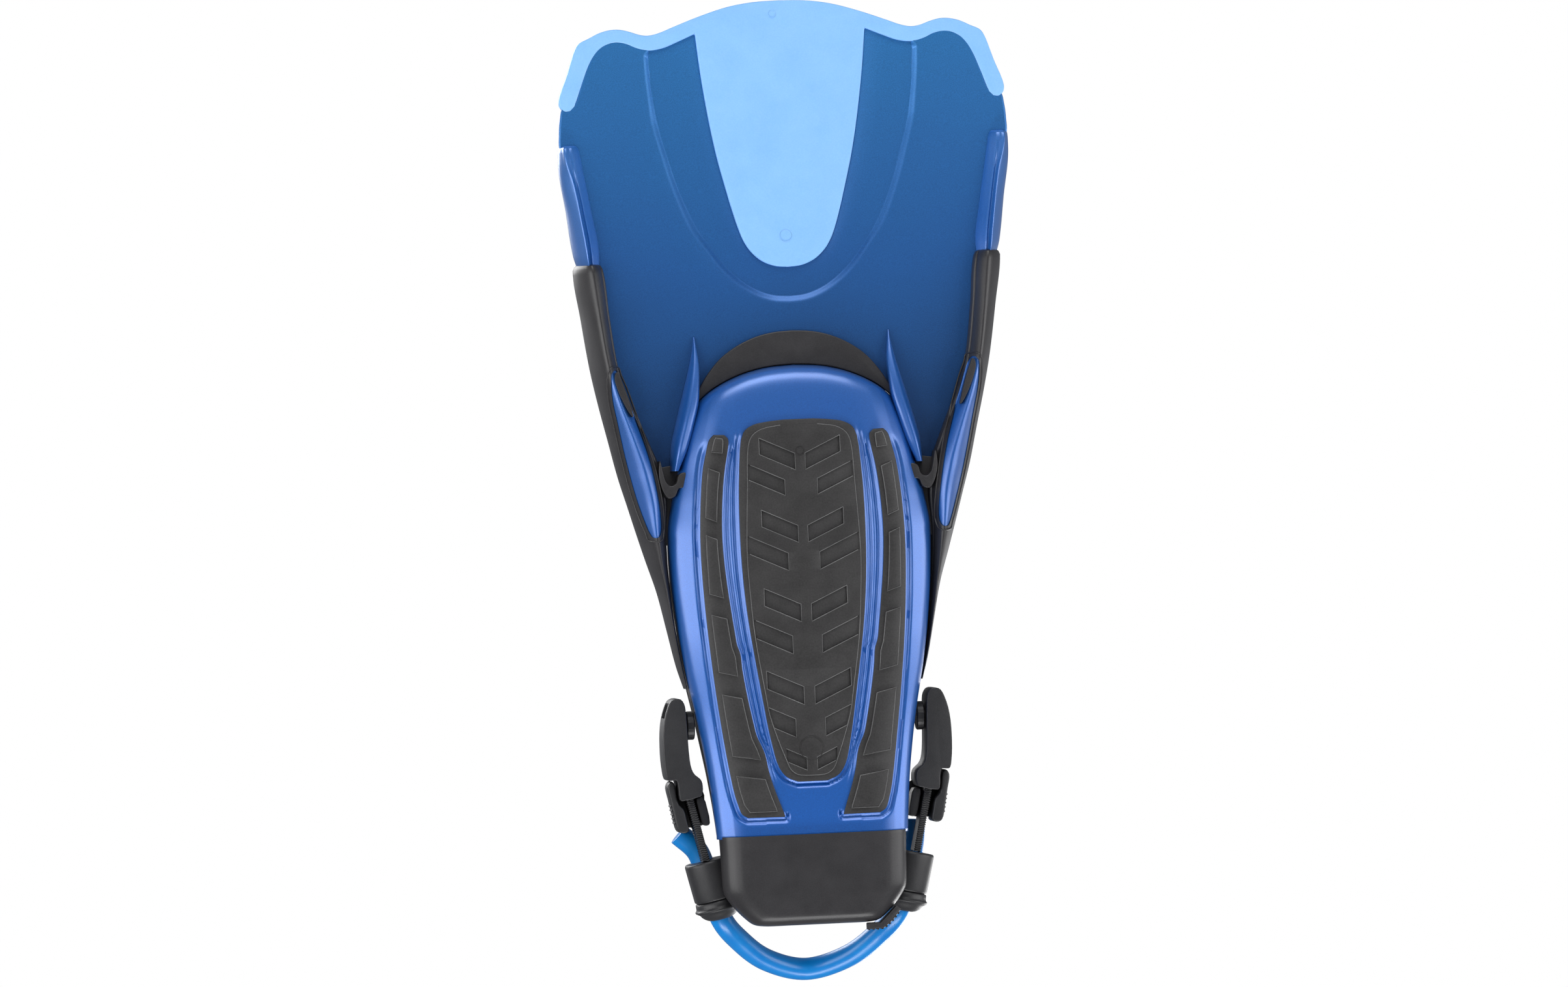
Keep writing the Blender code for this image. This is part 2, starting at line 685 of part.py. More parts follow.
def strap_frame():
    """Start, direction and outward side of the right ratchet strap."""
    start = at_post(*SLOT_AT, 0)
    end = at_heel(*STRAP_END_AT, 0)
    direction = (end - start).normalized()
    outward = Vector((direction.y, -direction.x, 0))
    if outward.x < 0:
        outward = -outward
    return start, end, direction, outward


def slab_box(name, centre, direction, outward, sizes):
    """A box of sizes (along the strap, across it, upwards)."""
    long, wide, tall = (size / 2 for size in sizes)
    low, high = [], []
    for a, b in ((-1, -1), (1, -1), (1, 1), (-1, 1)):
        base = centre + direction * (a * long) + outward * (b * wide)
        low.append(base - Vector((0, 0, tall)))
        high.append(base + Vector((0, 0, tall)))
    return prism(name, low, high)


def outline_prism(name, outline, low_z, high_z):
    low = [at_post(x, t, low_z) for x, t in outline]
    high = [at_post(x, t, high_z) for x, t in outline]
    return prism(name, low, high)


def build_buckles(group, cutters, plastic, steel):
    start, _, direction, outward = strap_frame()
    middle = POST_HEIGHT / MM
    half = BUCKLE_HEIGHT / MM / 2
    body = outline_prism("buckle_right", BUCKLE_OUTLINE, middle - half, middle + half)
    lever = outline_prism("release_lever_right", LEVER_OUTLINE, middle - 8.0, middle + 8.0)
    slot_centre = start - direction * 0.010 + Vector((0, 0, POST_HEIGHT))
    sizes = (0.090, STRAP_THICKNESS + 2 * RUNNING_GAP, STRAP_WIDTH + 2 * RUNNING_GAP)
    slot = slab_box("strap_slot_right", slot_centre, direction, outward, sizes)
    post = at_post(WALL_AT_POST, POST_AT, 0) + Vector((0, 0, POST_HEIGHT))
    radius = STEM_DIAMETER / MM / 2 + RUNNING_GAP / MM
    bore = turned_along_x("post_bore_right", [(3.0, radius), (11.8, radius)], post)
    pin_at = at_post(*LEVER_PIN_AT, middle)
    pin_rings = []
    hole_rings = []
    pin_radius = PIN_DIAMETER / 2
    for z, grow in ((-7.0, 0), (7.0, 0)):
        ring = []
        hole = []
        for k in range(16):
            angle = 2 * math.pi * k / 16
            turn = Vector((math.cos(angle), math.sin(angle), 0))
            ring.append(pin_at + turn * pin_radius + Vector((0, 0, z * MM)))
            hole.append(pin_at + turn * (pin_radius + FIT_GAP) + Vector((0, 0, z * MM * 1.3)))
        pin_rings.append(ring)
        hole_rings.append(hole)
    pin = loft("lever_pin_right", pin_rings)
    pin_hole = loft("pin_hole_right", hole_rings)
    for side in ("right", "left"):
        flip = side == "left"
        for name, mesh, holes in (
            ("buckle_", body, (("strap_slot_", slot), ("post_bore_", bore))),
            ("release_lever_", lever, (("pin_hole_", pin_hole),)),
        ):
            shape = mirrored(mesh, name + side) if flip else mesh
            made = new_object(name + side, shape, plastic, group)
            for hole_name, hole in holes:
                shape = mirrored(hole, hole_name + side) if flip else hole
                cut(made, new_cutter(hole_name + side, shape, cutters))
    pair("lever_pin", pin, steel, group)


def build_straps(group, material):
    """A toothed strap from inside the buckle to the housing's face."""
    start, end, direction, outward = strap_frame()
    length = (end - start).length
    tail = STRAP_TAIL * MM
    half = STRAP_THICKNESS / 2
    count = int((length + tail - 0.010) / TOOTH_PITCH)
    line = [(-tail, -half), (length, -half), (length, half)]
    first = length - 0.005
    for k in range(count):
        base = first - k * TOOTH_PITCH
        line.append((base, half))
        line.append((base - TOOTH_PITCH * 0.25, half - TOOTH_DEPTH))
    line.append((first - count * TOOTH_PITCH, half))
    line.append((-tail, half))
    rings = []
    for z in (POST_HEIGHT - STRAP_WIDTH / 2, POST_HEIGHT + STRAP_WIDTH / 2):
        ring = [start + direction * s + outward * n + Vector((0, 0, z)) for s, n in line]
        rings.append(ring)
    pair("ratchet_strap", prism("ratchet_strap_right", *rings), material, group)


def tube_path():
    """The right half of the heel tube, from its tail over the strap to the middle."""
    _, end, direction, outward = strap_frame()
    high = POST_HEIGHT + STRAP_WIDTH / 2 + TUBE_DIAMETER / 2 + 0.0009
    front = end + Vector((0, 0, high))
    back = end + direction * ((HOUSING_LENGTH + PLUG_LENGTH) * MM)
    back = back - outward * 0.0015 + Vector((0, 0, high - 0.001))
    reach = BODY_LENGTH + LOOP_REACH - MIDDLE - TUBE_DIAMETER / 2
    middle = Vector((0, reach, high + 0.028))
    drop = reach - back.y
    knee = Vector((back.x * 0.78, back.y + drop * 0.42, high + 0.010))
    waist = Vector((back.x * 0.46, back.y + drop * 0.80, high + 0.021))
    return front, back, knee, waist, middle


def smooth_line(points, per_span):
    """Catmull-Rom points through a line of points."""
    extended = [2 * points[0] - points[1], *points, 2 * points[-1] - points[-2]]
    found = []
    for i in range(1, len(extended) - 2):
        p0, p1, p2, p3 = extended[i - 1 : i + 3]
        for step in range(per_span):
            u = step / per_span
            found.append(
                0.5 * (
                    2 * p1 + (p2 - p0) * u
                    + (2 * p0 - 5 * p1 + 4 * p2 - p3) * u * u
                    + (3 * p1 - p0 - 3 * p2 + p3) * u ** 3
                )
            )
    found.append(points[-1].copy())
    return found


def pipe(name, line, radius, steps=14):
    """A round pipe along a line, with flat ends, the last one square to X."""
    rings = []
    side = None
    for i, point in enumerate(line):
        before, after = line[max(i - 1, 0)], line[min(i + 1, len(line) - 1)]
        direction = (after - before).normalized()
        if i == len(line) - 1:
            direction = Vector((-1, 0, 0))
        if side is None:
            side = direction.orthogonal().normalized()
        side = (side - direction * side.dot(direction)).normalized()
        other = direction.cross(side)
        ring = []
        for k in range(steps):
            angle = 2 * math.pi * k / steps
            ring.append(point + (side * math.cos(angle) + other * math.sin(angle)) * radius)
        rings.append(ring)
    return loft(name, rings)


def build_tube(group, material):
    """Two halves of the heel tube, which meet behind the heel."""
    front, back, knee, waist, middle = tube_path()
    _, _, direction, outward = strap_frame()
    lines = {}
    for side in ("right", "left"):
        sway = 0.016 if side == "left" else -0.002
        bend = front - direction * 0.006 + outward * sway * 0.25
        tail = front - direction * 0.020 + outward * sway
        rear = Vector((-middle.x - waist.x * 0.5, middle.y - 0.0012, middle.z - 0.001))
        ends = [tail, bend, front + direction * 0.006, back, knee, waist, middle]
        points = smooth_line([*ends, rear], 4)
        stop = (len(ends) - 1) * 4
        line = points[: stop + 1]
        line[-1] = Vector((FIT_GAP / 2, middle.y, middle.z))
        lines[side] = line
        mesh = pipe("heel_tube_" + side, line, TUBE_DIAMETER / 2)
        if side == "left":
            mesh = mirrored(mesh, "heel_tube_left")
        new_object("heel_tube_" + side, mesh, material, group)
    return lines


def stadium(centre, direction, outward, width, height, steps=20):
    """A rounded oblong ring across the strap's direction."""
    ring = []
    straight = max(height - width, 0.0) / 2
    for k in range(steps):
        angle = 2 * math.pi * (k + 0.5) / steps
        c, s = math.cos(angle), math.sin(angle)
        lift = s * width / 2 + math.copysign(straight, s)
        ring.append(centre + outward * (c * width / 2) + Vector((0, 0, lift)))
    return ring


def build_housings(group, cutters, material, tube_lines):
    _, end, direction, outward = strap_frame()
    growth = TUBE_DIAMETER - NOMINAL_TUBE
    middle = end + Vector((0, 0, 0.036 + growth / 2))
    length = HOUSING_LENGTH * MM
    wide, tall = HOUSING_WIDTH, HOUSING_HEIGHT + growth
    inward = -outward * 0.0008
    barrel = []
    for s, w, h in (
        (0.0003, -0.0016, -0.0016), (0.0014, 0, 0), (length - 0.001, 0, 0),
        (length - 0.0003, -0.001, -0.001),
    ):
        spot = middle + direction * s + inward
        barrel.append(stadium(spot, direction, outward, wide + w, tall + h))
    plug = []
    for s, w, h in (
        (0.0003, -0.0004, -0.0004), (0.0012, 0.0018, 0.0018), (0.0034, 0.0018, 0.0018),
        (0.0048, -0.0016, -0.0016), (0.0078, -0.0036, -0.0044), (0.0100, -0.0062, -0.0086),
        (PLUG_LENGTH * MM, -0.0104, -0.0130),
    ):
        spot = middle + direction * (s + length) + inward
        plug.append(stadium(spot, direction, outward, wide + w, tall + h))
    shapes = {
        "strap_housing_": loft("strap_housing_right", barrel),
        "end_plug_": loft("end_plug_right", plug),
    }
    for side in ("right", "left"):
        line = tube_lines[side]
        bore = pipe("tube_bore_" + side, line, TUBE_DIAMETER / 2 + FIT_GAP)
        if side == "left":
            bore = mirrored(bore, "tube_bore_left")
        cutter = new_cutter("tube_bore_" + side, bore, cutters)
        for name, mesh in shapes.items():
            shape = mirrored(mesh, name + side) if side == "left" else mesh
            cut(new_object(name + side, shape, material, group), cutter)


def main():
    clear_scene()
    bpy.context.scene.unit_settings.system = "METRIC"
    fin = new_collection("swim_fin")
    cutters = new_collection("cutters")
    pearl = new_material("pearl_blue_plastic", (0.03, 0.12, 0.40), 0.35, 0.3)
    sky = new_material("sky_blue_rubber", (0.20, 0.52, 0.90), 0.55)
    black = new_material("black_rubber", (0.03, 0.03, 0.032), 0.6)
    hard_black = new_material("black_nylon", (0.025, 0.025, 0.027), 0.5)
    silicone = new_material("blue_silicone", (0.03, 0.30, 0.80), 0.4)
    steel = new_material("stainless_steel", (0.6, 0.6, 0.6), 0.3, 1.0)
    build_blade(fin, pearl)
    build_tip_rubber(fin, sky)
    build_rails(fin, cutters, pearl, black)
    build_window_inserts(fin, black)
    build_bridges(fin, black)
    build_spine_ribs(fin, pearl)
    build_toe_crescent(fin, black)
    build_sole_plate(fin, pearl)
    build_treads(fin, black)
    build_pocket_upper(fin, black)
    build_heel_cup(fin, black)
    build_heel_lug(fin, black)
    build_footbed(fin, black)
    build_posts(fin, hard_black)
    build_buckles(fin, cutters, hard_black, steel)
    build_straps(fin, hard_black)
    lines = build_tube(fin, silicone)
    build_housings(fin, cutters, hard_black, lines)


main()
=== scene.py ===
# %% [markdown]
# # An open-heel swim fin
#
# This lesson dresses a finished CAD model of a swim fin for the camera. The fin lies sole
# down with its blade towards -Y and its heel towards +Y. Its tip and its joints come from
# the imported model, and every distance along the fin below is counted from that tip.
# Sizes in the tables are millimetres: a half width from the fin's middle line, a distance
# along the fin from the blade's tip, and a height above the floor.

import math

import bmesh
import bpy
import numpy as np
from mathutils import Matrix, Vector


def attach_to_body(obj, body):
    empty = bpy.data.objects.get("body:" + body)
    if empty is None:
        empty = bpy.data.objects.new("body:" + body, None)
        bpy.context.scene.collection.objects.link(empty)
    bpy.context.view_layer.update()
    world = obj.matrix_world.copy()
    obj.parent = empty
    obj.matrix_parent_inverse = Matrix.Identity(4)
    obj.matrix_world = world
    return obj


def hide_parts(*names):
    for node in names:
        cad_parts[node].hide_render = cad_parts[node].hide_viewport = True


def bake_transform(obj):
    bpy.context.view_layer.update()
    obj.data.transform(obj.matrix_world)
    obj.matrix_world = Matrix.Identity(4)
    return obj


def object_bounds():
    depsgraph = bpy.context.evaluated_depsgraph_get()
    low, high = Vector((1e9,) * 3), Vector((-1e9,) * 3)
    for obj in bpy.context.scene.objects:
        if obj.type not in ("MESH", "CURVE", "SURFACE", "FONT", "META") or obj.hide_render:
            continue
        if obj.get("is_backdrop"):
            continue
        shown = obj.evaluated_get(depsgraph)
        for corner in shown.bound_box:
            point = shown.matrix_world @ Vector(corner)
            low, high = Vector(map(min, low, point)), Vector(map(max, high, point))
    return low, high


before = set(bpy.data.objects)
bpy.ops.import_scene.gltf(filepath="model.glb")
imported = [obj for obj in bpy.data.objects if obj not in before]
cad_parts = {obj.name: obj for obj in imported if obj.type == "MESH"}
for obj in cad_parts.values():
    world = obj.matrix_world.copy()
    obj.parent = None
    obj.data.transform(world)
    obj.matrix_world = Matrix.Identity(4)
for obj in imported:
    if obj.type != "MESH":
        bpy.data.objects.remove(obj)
CAD_LOW, CAD_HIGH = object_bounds()
MM = 0.001
TIP_Y = CAD_LOW.y
BLACK_SLOT, HARD_SLOT, PEARL_SLOT = "black_rubber", "black_nylon", "pearl_blue_plastic"
SKY_SLOT, TUBE_SLOT, STEEL_SLOT = "sky_blue_rubber", "blue_silicone", "stainless_steel"
print("size in mm:", [round((h - l) / MM, 1) for l, h in zip(CAD_LOW, CAD_HIGH)])

# %% [markdown]
# ## Camera
#
# The fin is shown from its sole side, as a diver's buddy sees it from below. The camera
# therefore stands under the fin and looks up, with a long lens so that the blade and the
# heel keep their true proportions. It is rolled a few degrees about the fin's length,
# which shows a little of the left flank, and turned slightly in its own plane.

# %% Place the camera
CAMERA_ROLL = math.radians(6.5)
CAMERA_TURN = math.radians(2.4)
CAMERA_DISTANCE = 5.0
PICTURE_WIDTH = 0.850
AIM = Vector((-0.0068, 0.0, 0.024))


def camera_axes():
    """Right, up and forward directions of the camera, in the fin's frame."""
    forward = Vector((math.sin(CAMERA_ROLL), 0, math.cos(CAMERA_ROLL)))
    level = Vector((math.cos(CAMERA_ROLL), 0, -math.sin(CAMERA_ROLL)))
    heelwards = Vector((0, 1, 0))
    turn, rest = math.sin(CAMERA_TURN), math.cos(CAMERA_TURN)
    return level * rest + heelwards * turn, level * turn - heelwards * rest, forward


camera_data = bpy.data.cameras.new("camera")
camera_data.sensor_width = 36.0
camera_data.lens = camera_data.sensor_width * CAMERA_DISTANCE / PICTURE_WIDTH
camera_data.clip_end = 50.0
camera = bpy.data.objects.new("camera", camera_data)
bpy.context.scene.collection.objects.link(camera)
right, up, forward = camera_axes()
turned = Matrix((right, up, -forward)).transposed().to_4x4()
camera.matrix_world = Matrix.Translation(AIM - forward * CAMERA_DISTANCE) @ turned
bpy.context.scene.camera = camera
print("lens in mm:", round(camera_data.lens, 1))

# %% [markdown]
# ## Colours and nodes
#
# A colour is written as an sRGB hex value, and one function turns it into the linear
# numbers that Blender's shaders work in. Another small function adds one node with its
# settings and its links, so a material reads as a short recipe.

# %% Helpers for materials


def linear(code, alpha=1.0):
    """The linear colour of an sRGB hex value."""
    parts = [int(code[i : i + 2], 16) / 255 for i in (1, 3, 5)]
    bright = [p / 12.92 if p <= 0.04045 else ((p + 0.055) / 1.055) ** 2.4 for p in parts]
    return (*bright, alpha)


def add(tree, kind, links=None, **settings):
    """A new node: settings name its properties or input sockets, links feed its sockets."""
    node = tree.nodes.new(kind)
    for key, value in settings.items():
        if hasattr(node, key):
            setattr(node, key, value)
        else:
            node.inputs[key.replace("_", " ")].default_value = value
    for socket, source in (links or {}).items():
        tree.links.new(source, node.inputs[socket])
    return node


def ramp(tree, factor, stops):
    """A colour ramp through (place, hex colour) stops."""
    node = add(tree, "ShaderNodeValToRGB", {"Fac": factor})
    edges = node.color_ramp.elements
    while len(edges) < len(stops):
        edges.new(0.5)
    for edge, (spot, code) in zip(edges, stops):
        edge.position = spot
        edge.color = linear(code)
    return node


def new_material(name):
    """An empty node material: its tree, its Principled shader and its object coordinates."""
    made = bpy.data.materials.new(name)
    made.use_nodes = True
    tree = made.node_tree
    shader = tree.nodes["Principled BSDF"]
    where = add(tree, "ShaderNodeTexCoord").outputs["Object"]
    return made, tree, shader, where


def grain_bump(tree, where, size_mm, strength, height_mm, detail=2.0):
    """A bump from moulding grain of a real size."""
    noise = add(
        tree, "ShaderNodeTexNoise", {"Vector": where}, Scale=1 / (size_mm * MM), Detail=detail
    )
    bump = add(
        tree, "ShaderNodeBump", {"Height": noise.outputs["Fac"]},
        Strength=strength, Distance=height_mm * MM,
    )
    return noise, bump


# %% [markdown]
# ## Pearl blue plastic
#
# The blade, the rails and the sole are one injection-moulded polypropylene, tinted blue
# and filled with mica flake. The flake makes broad soft highlights that turn pale at a
# glancing angle, while the polished mould leaves a thin clear gloss over it. A partly
# metallic base gives the flake, a coat gives the gloss, and a fine noise gives the
# sparkle. The real flake is about 0.05 mm across; it is drawn ten times coarser here so
# that the render can show it. The base colour is painted darker from the tip towards the
# foot: on the blade this is painted shade from the foot pocket, and on the polished
# pieces a deeper blue is painted where they reflect less light.

# %% Material: pearl-filled polypropylene, moulded


def pearl_plastic(name, shallow, middle, painted_foot_shade, reach, roughness, metal, coat, speckle):
    made, tree, shader, where = new_material(name)
    flake = add(tree, "ShaderNodeTexNoise", {"Vector": where}, Scale=1800.0, Detail=1.0)
    cloud = add(tree, "ShaderNodeTexNoise", {"Vector": where}, Scale=14.0, Detail=3.0)
    split = add(tree, "ShaderNodeSeparateXYZ", {"Vector": where})
    # Along Y the colour is painted darker towards the foot as painted shade, and a cloud of random
    # real tone is added to it.
    along = add(
        tree, "ShaderNodeMapRange", {"Value": split.outputs["Y"]},
        From_Min=TIP_Y + 0.02, From_Max=TIP_Y + reach, To_Min=-0.12, To_Max=0.88,
    )
    tone_and_painted_shade = add(
        tree, "ShaderNodeMath", {0: cloud.outputs["Fac"], 2: along.outputs["Result"]},
        operation="MULTIPLY_ADD",
    )
    tone_and_painted_shade.inputs[1].default_value = 0.24
    tint = ramp(tree, tone_and_painted_shade.outputs[0], [(0.0, shallow), (0.5, middle), (1.0, painted_foot_shade)])
    bright = add(
        tree, "ShaderNodeMapRange", {"Value": flake.outputs["Fac"]},
        From_Min=0.3, From_Max=0.7, To_Min=1.0 - speckle, To_Max=1.0 + speckle,
    )
    spark = add(
        tree, "ShaderNodeVectorMath",
        {0: tint.outputs["Color"], "Scale": bright.outputs["Result"]}, operation="SCALE",
    )
    tree.links.new(spark.outputs[0], shader.inputs["Base Color"])
    uneven = add(
        tree, "ShaderNodeMapRange", {"Value": cloud.outputs["Fac"]},
        To_Min=roughness - 0.04, To_Max=roughness + 0.05,
    )
    tree.links.new(uneven.outputs["Result"], shader.inputs["Roughness"])
    _, bump = grain_bump(tree, where, 0.7, 0.10, 0.05)
    tree.links.new(bump.outputs["Normal"], shader.inputs["Normal"])
    shader.inputs["Metallic"].default_value = metal
    shader.inputs["IOR"].default_value = 1.49
    shader.inputs["Coat Weight"].default_value = coat
    shader.inputs["Coat Roughness"].default_value = 0.30
    return made


# Last colour of each: painted shade on the blade; on the polished pieces, a deeper blue painted
# where they reflect less.
PEARL_BLADE = pearl_plastic(
    "pearl_polypropylene_blade", "#2c74b4", "#225c9f", "#0d3561", 0.26, 0.42, 0.5, 0.25, 0.12
)
PEARL_GLOSS = pearl_plastic(
    "pearl_polypropylene_polished", "#2a6cb4", "#1b58a6", "#0559b0", 0.46, 0.38, 0.35, 1.0, 0.10
)

# %% [markdown]
# ## Rubbers
#
# The tip is a sky-blue thermoplastic rubber, satin and slightly translucent. The treads,
# rails and foot pocket are a black thermoplastic rubber with a dull grain that catches a
# wide grey highlight. The thin crests of the treads take a paler grey, which is a painted
# highlight along their edges. The heel tube is tinted silicone, smoother and glossier than
# either. Glass-filled nylon is hard, but its spark-textured skin scatters light in the same
# way, so the buckles take the same recipe.

# %% Material: thermoplastic rubbers and silicone, moulded


def rubber(name, low, high, roughness, grain_mm, grain_depth, soft=0.0, speck=0.5):
    """A moulded rubber: two close colours, a grain and an optional soft glow."""
    made, tree, shader, where = new_material(name)
    blotch = add(
        tree, "ShaderNodeTexNoise", {"Vector": where}, Scale=60.0, Detail=4.0, Roughness=0.6
    )
    noise, bump = grain_bump(tree, where, grain_mm, 0.35, grain_depth, 3.0)
    blend = add(
        tree, "ShaderNodeMix", {2: blotch.outputs["Fac"], 3: noise.outputs["Fac"]},
        data_type="FLOAT",
    )
    blend.inputs[0].default_value = speck
    tint = ramp(tree, blend.outputs[0], [(0.3, low), (0.7, high)])
    tree.links.new(tint.outputs["Color"], shader.inputs["Base Color"])
    uneven = add(
        tree, "ShaderNodeMapRange", {"Value": blotch.outputs["Fac"]},
        To_Min=roughness - 0.05, To_Max=roughness + 0.06,
    )
    tree.links.new(uneven.outputs["Result"], shader.inputs["Roughness"])
    tree.links.new(bump.outputs["Normal"], shader.inputs["Normal"])
    shader.inputs["IOR"].default_value = 1.50
    if soft:
        shader.inputs["Subsurface Weight"].default_value = soft
        shader.inputs["Subsurface Radius"].default_value = (0.3, 0.6, 1.0)
        shader.inputs["Subsurface Scale"].default_value = 0.003
    return made


SKY_RUBBER = rubber("sky_blue_tpr_satin", "#80b6f0", "#8cc0f4", 0.48, 0.8, 0.05, 0.25)
BLACK_RUBBER = rubber("black_tpr_matt", "#201f21", "#302f31", 0.42, 0.7, 0.09)
TREAD_RUBBER = rubber("black_tpr_tread", "#1e1d1d", "#343333", 0.48, 0.9, 0.10)
# A paler grey: painted highlight along the tread crests.
PAINTED_HIGHLIGHT_RUBBER = rubber("black_tpr_rubbed_edge", "#4c4c4c", "#6a6a6a", 0.40, 0.9, 0.03)
BLACK_NYLON = rubber("black_glass_nylon_spark_textured", "#1b1b1d", "#29292b", 0.46, 0.55, 0.16)
SILICONE = rubber("blue_silicone_extruded", "#0073c4", "#0c84d0", 0.30, 2.5, 0.002, 0.0, 0.2)


def steel():
    """Drawn stainless wire: long fine scratches along the pin."""
    made, tree, shader, where = new_material("stainless_steel_drawn")
    stretched = add(tree, "ShaderNodeMapping", {"Vector": where}, Scale=(4000, 4000, 200))
    noise = add(tree, "ShaderNodeTexNoise", {"Vector": stretched.outputs[0]}, Scale=1.0)
    tint = ramp(tree, noise.outputs["Fac"], [(0.3, "#8d8f92"), (0.7, "#c2c4c6")])
    tree.links.new(tint.outputs["Color"], shader.inputs["Base Color"])
    shader.inputs["Metallic"].default_value = 1.0
    shader.inputs["Roughness"].default_value = 0.28
    return made


STEEL = steel()
print("materials:", [m.name for m in (PEARL_BLADE, SKY_RUBBER, BLACK_RUBBER, SILICONE)])

# %% [markdown]
# ## Curves that carry the shape
#
# A fin is drawn as plan curves and cross sections. The tables below hold a few measured
# points of each, and two helpers make them smooth: a centripetal Catmull-Rom line, which
# passes through every point without loops, and a monotone reading, which never swings
# past the values in a table.

# %% Helpers for curves


def smooth(points, steps, closed=False):
    """A centripetal Catmull-Rom line through points, as an array."""
    p = np.asarray(points, float)
    if closed:
        p = np.vstack([p[-1], p, p[0], p[1]])
    else:
        p = np.vstack([2 * p[0] - p[1], p, 2 * p[-1] - p[-2]])
    found = []
    for i in range(1, len(p) - 2):
        a, b, c, d = p[i - 1 : i + 3]
        k = [0.0]
        for q, r in ((a, b), (b, c), (c, d)):
            k.append(k[-1] + max(float(np.linalg.norm(r - q)), 1e-9) ** 0.5)
        for step in range(steps):
            u = k[1] + (k[2] - k[1]) * step / steps
            ab = a + (b - a) * (u - k[0]) / (k[1] - k[0])
            bc = b + (c - b) * (u - k[1]) / (k[2] - k[1])
            cd = c + (d - c) * (u - k[2]) / (k[3] - k[2])
            abc = ab + (bc - ab) * (u - k[0]) / (k[2] - k[0])
            bcd = bc + (cd - bc) * (u - k[1]) / (k[3] - k[1])
            found.append(abc + (bcd - abc) * (u - k[1]) / (k[2] - k[1]))
    if not closed:
        found.append(p[-2])
    return np.array(found)


def evenly(points, count):
    """Points spaced evenly along a line."""
    p = np.asarray(points, float)
    run = np.concatenate([[0], np.cumsum(np.linalg.norm(np.diff(p, axis=0), axis=1))])
    spots = np.linspace(0, run[-1], count)
    return np.stack([np.interp(spots, run, p[:, k]) for k in range(p.shape[1])], axis=1)


def read(rows, key, column, value):
    """Monotone smooth reading of one column of a table against another."""
    ordered = sorted((row[key], row[column]) for row in rows)
    x = np.array([a for a, _ in ordered], float)
    y = np.array([b for _, b in ordered], float)
    value = np.clip(np.asarray(value, float), x[0], x[-1])
    h = np.diff(x)
    d = np.diff(y) / h
    m = np.zeros(len(x))
    for i in range(1, len(x) - 1):
        if d[i - 1] * d[i] > 0:
            w1, w2 = 2 * h[i] + h[i - 1], h[i] + 2 * h[i - 1]
            m[i] = (w1 + w2) / (w1 / d[i - 1] + w2 / d[i])
    m[0], m[-1] = d[0], d[-1]
    i = np.clip(np.searchsorted(x, value) - 1, 0, len(h) - 1)
    s = (value - x[i]) / h[i]
    return (
        y[i] * (1 + 2 * s) * (1 - s) ** 2 + m[i] * h[i] * s * (1 - s) ** 2
        + y[i + 1] * s * s * (3 - 2 * s) + m[i + 1] * h[i] * s * s * (s - 1)
    )


def place(x, distance, z):
    """A point from millimetre table values."""
    return Vector((x * MM, TIP_Y + distance * MM, z * MM))


def ease(share):
    share = np.clip(share, 0, 1)
    return share * share * (3 - 2 * share)


# %% Plan curves and sections of the fin
TIP_OUTER = [
    (0, 0.0), (14, 0.5), (28, 2.6), (44, 7.3), (58, 12.4), (66, 15.4), (71.5, 16.5),
    (76, 16.0), (82, 14.0), (87, 12.8), (92, 12.8), (98, 14.2), (104, 17.0),
    (109.3, 19.6), (111.4, 22.6), (116.2, 36.0), (121.2, 49.6), (120.9, 53.4),
    (118.4, 56.0), (115.2, 55.8),
]
TIP_INNER = [
    (112.8, 53.4), (108.5, 42.0), (104.7, 32.4), (101.5, 26.8), (98.0, 23.0),
    (93.6, 20.6), (89.0, 19.9), (84.0, 20.8), (78.0, 23.4), (72.3, 24.6),
    (64.0, 23.6), (55.0, 20.2), (46.2, 16.5),
]
TONGUE = [
    (46.2, 16.5), (45.2, 27.0), (43.8, 40.0), (41.6, 56.0), (39.0, 72.0),
    (36.2, 86.0), (33.0, 99.0), (29.9, 111.0), (26.3, 123.0), (23.7, 129.5),
    (20.2, 135.0), (14.5, 140.2), (7.5, 143.2), (0, 144.0),
]
CHANNEL = [
    (72.4, 24.6), (71.6, 40.0), (69.6, 56.0), (66.4, 72.0), (62.4, 86.0),
    (57.8, 101.0), (52.4, 114.0), (46.6, 125.0), (40.4, 134.6), (33.4, 143.2),
    (25.6, 150.4), (17.2, 155.6), (8.6, 158.6), (0, 159.4),
]
# The blade's own edge runs a little under the rails, the ribs and the crescent.
BLADE_REAR = [
    (114.6, 52.6), (117.8, 52.8), (119.8, 54.6), (121.0, 60.0), (121.8, 68.0), (121.4, 77.0),
    (113.8, 85.0), (110.8, 94.0), (108.4, 110.0), (105.6, 130.0), (102.9, 150.0),
    (100.6, 172.0), (97.4, 195.0), (91.6, 214.0), (83.2, 234.0), (76.4, 249.0),
    (74.4, 255.0), (71.0, 258.6), (66.0, 257.6), (63.6, 252.0), (60.4, 237.0),
    (57.2, 226.0), (54.0, 217.2), (50.8, 208.4), (46.4, 201.4), (38.6, 192.8),
    (28.8, 186.0), (19.0, 181.8), (9.5, 179.8), (0, 179.2),
]
SOLE_SIDE = [
    (53.5, 216.0), (58.2, 228.0), (62.0, 240.0), (65.0, 254.0), (69.0, 270.0),
    (71.6, 288.0), (70.8, 310.0), (68.0, 339.0), (64.9, 360.0), (60.6, 382.0),
    (57.0, 403.0), (54.2, 424.0), (53.0, 437.0), (52.0, 450.0),
]
SOLE_FRONT = [
    (0, 197.0), (12.0, 197.7), (24.0, 200.0), (36.0, 204.4), (46.0, 210.0), (53.5, 216.0),
]
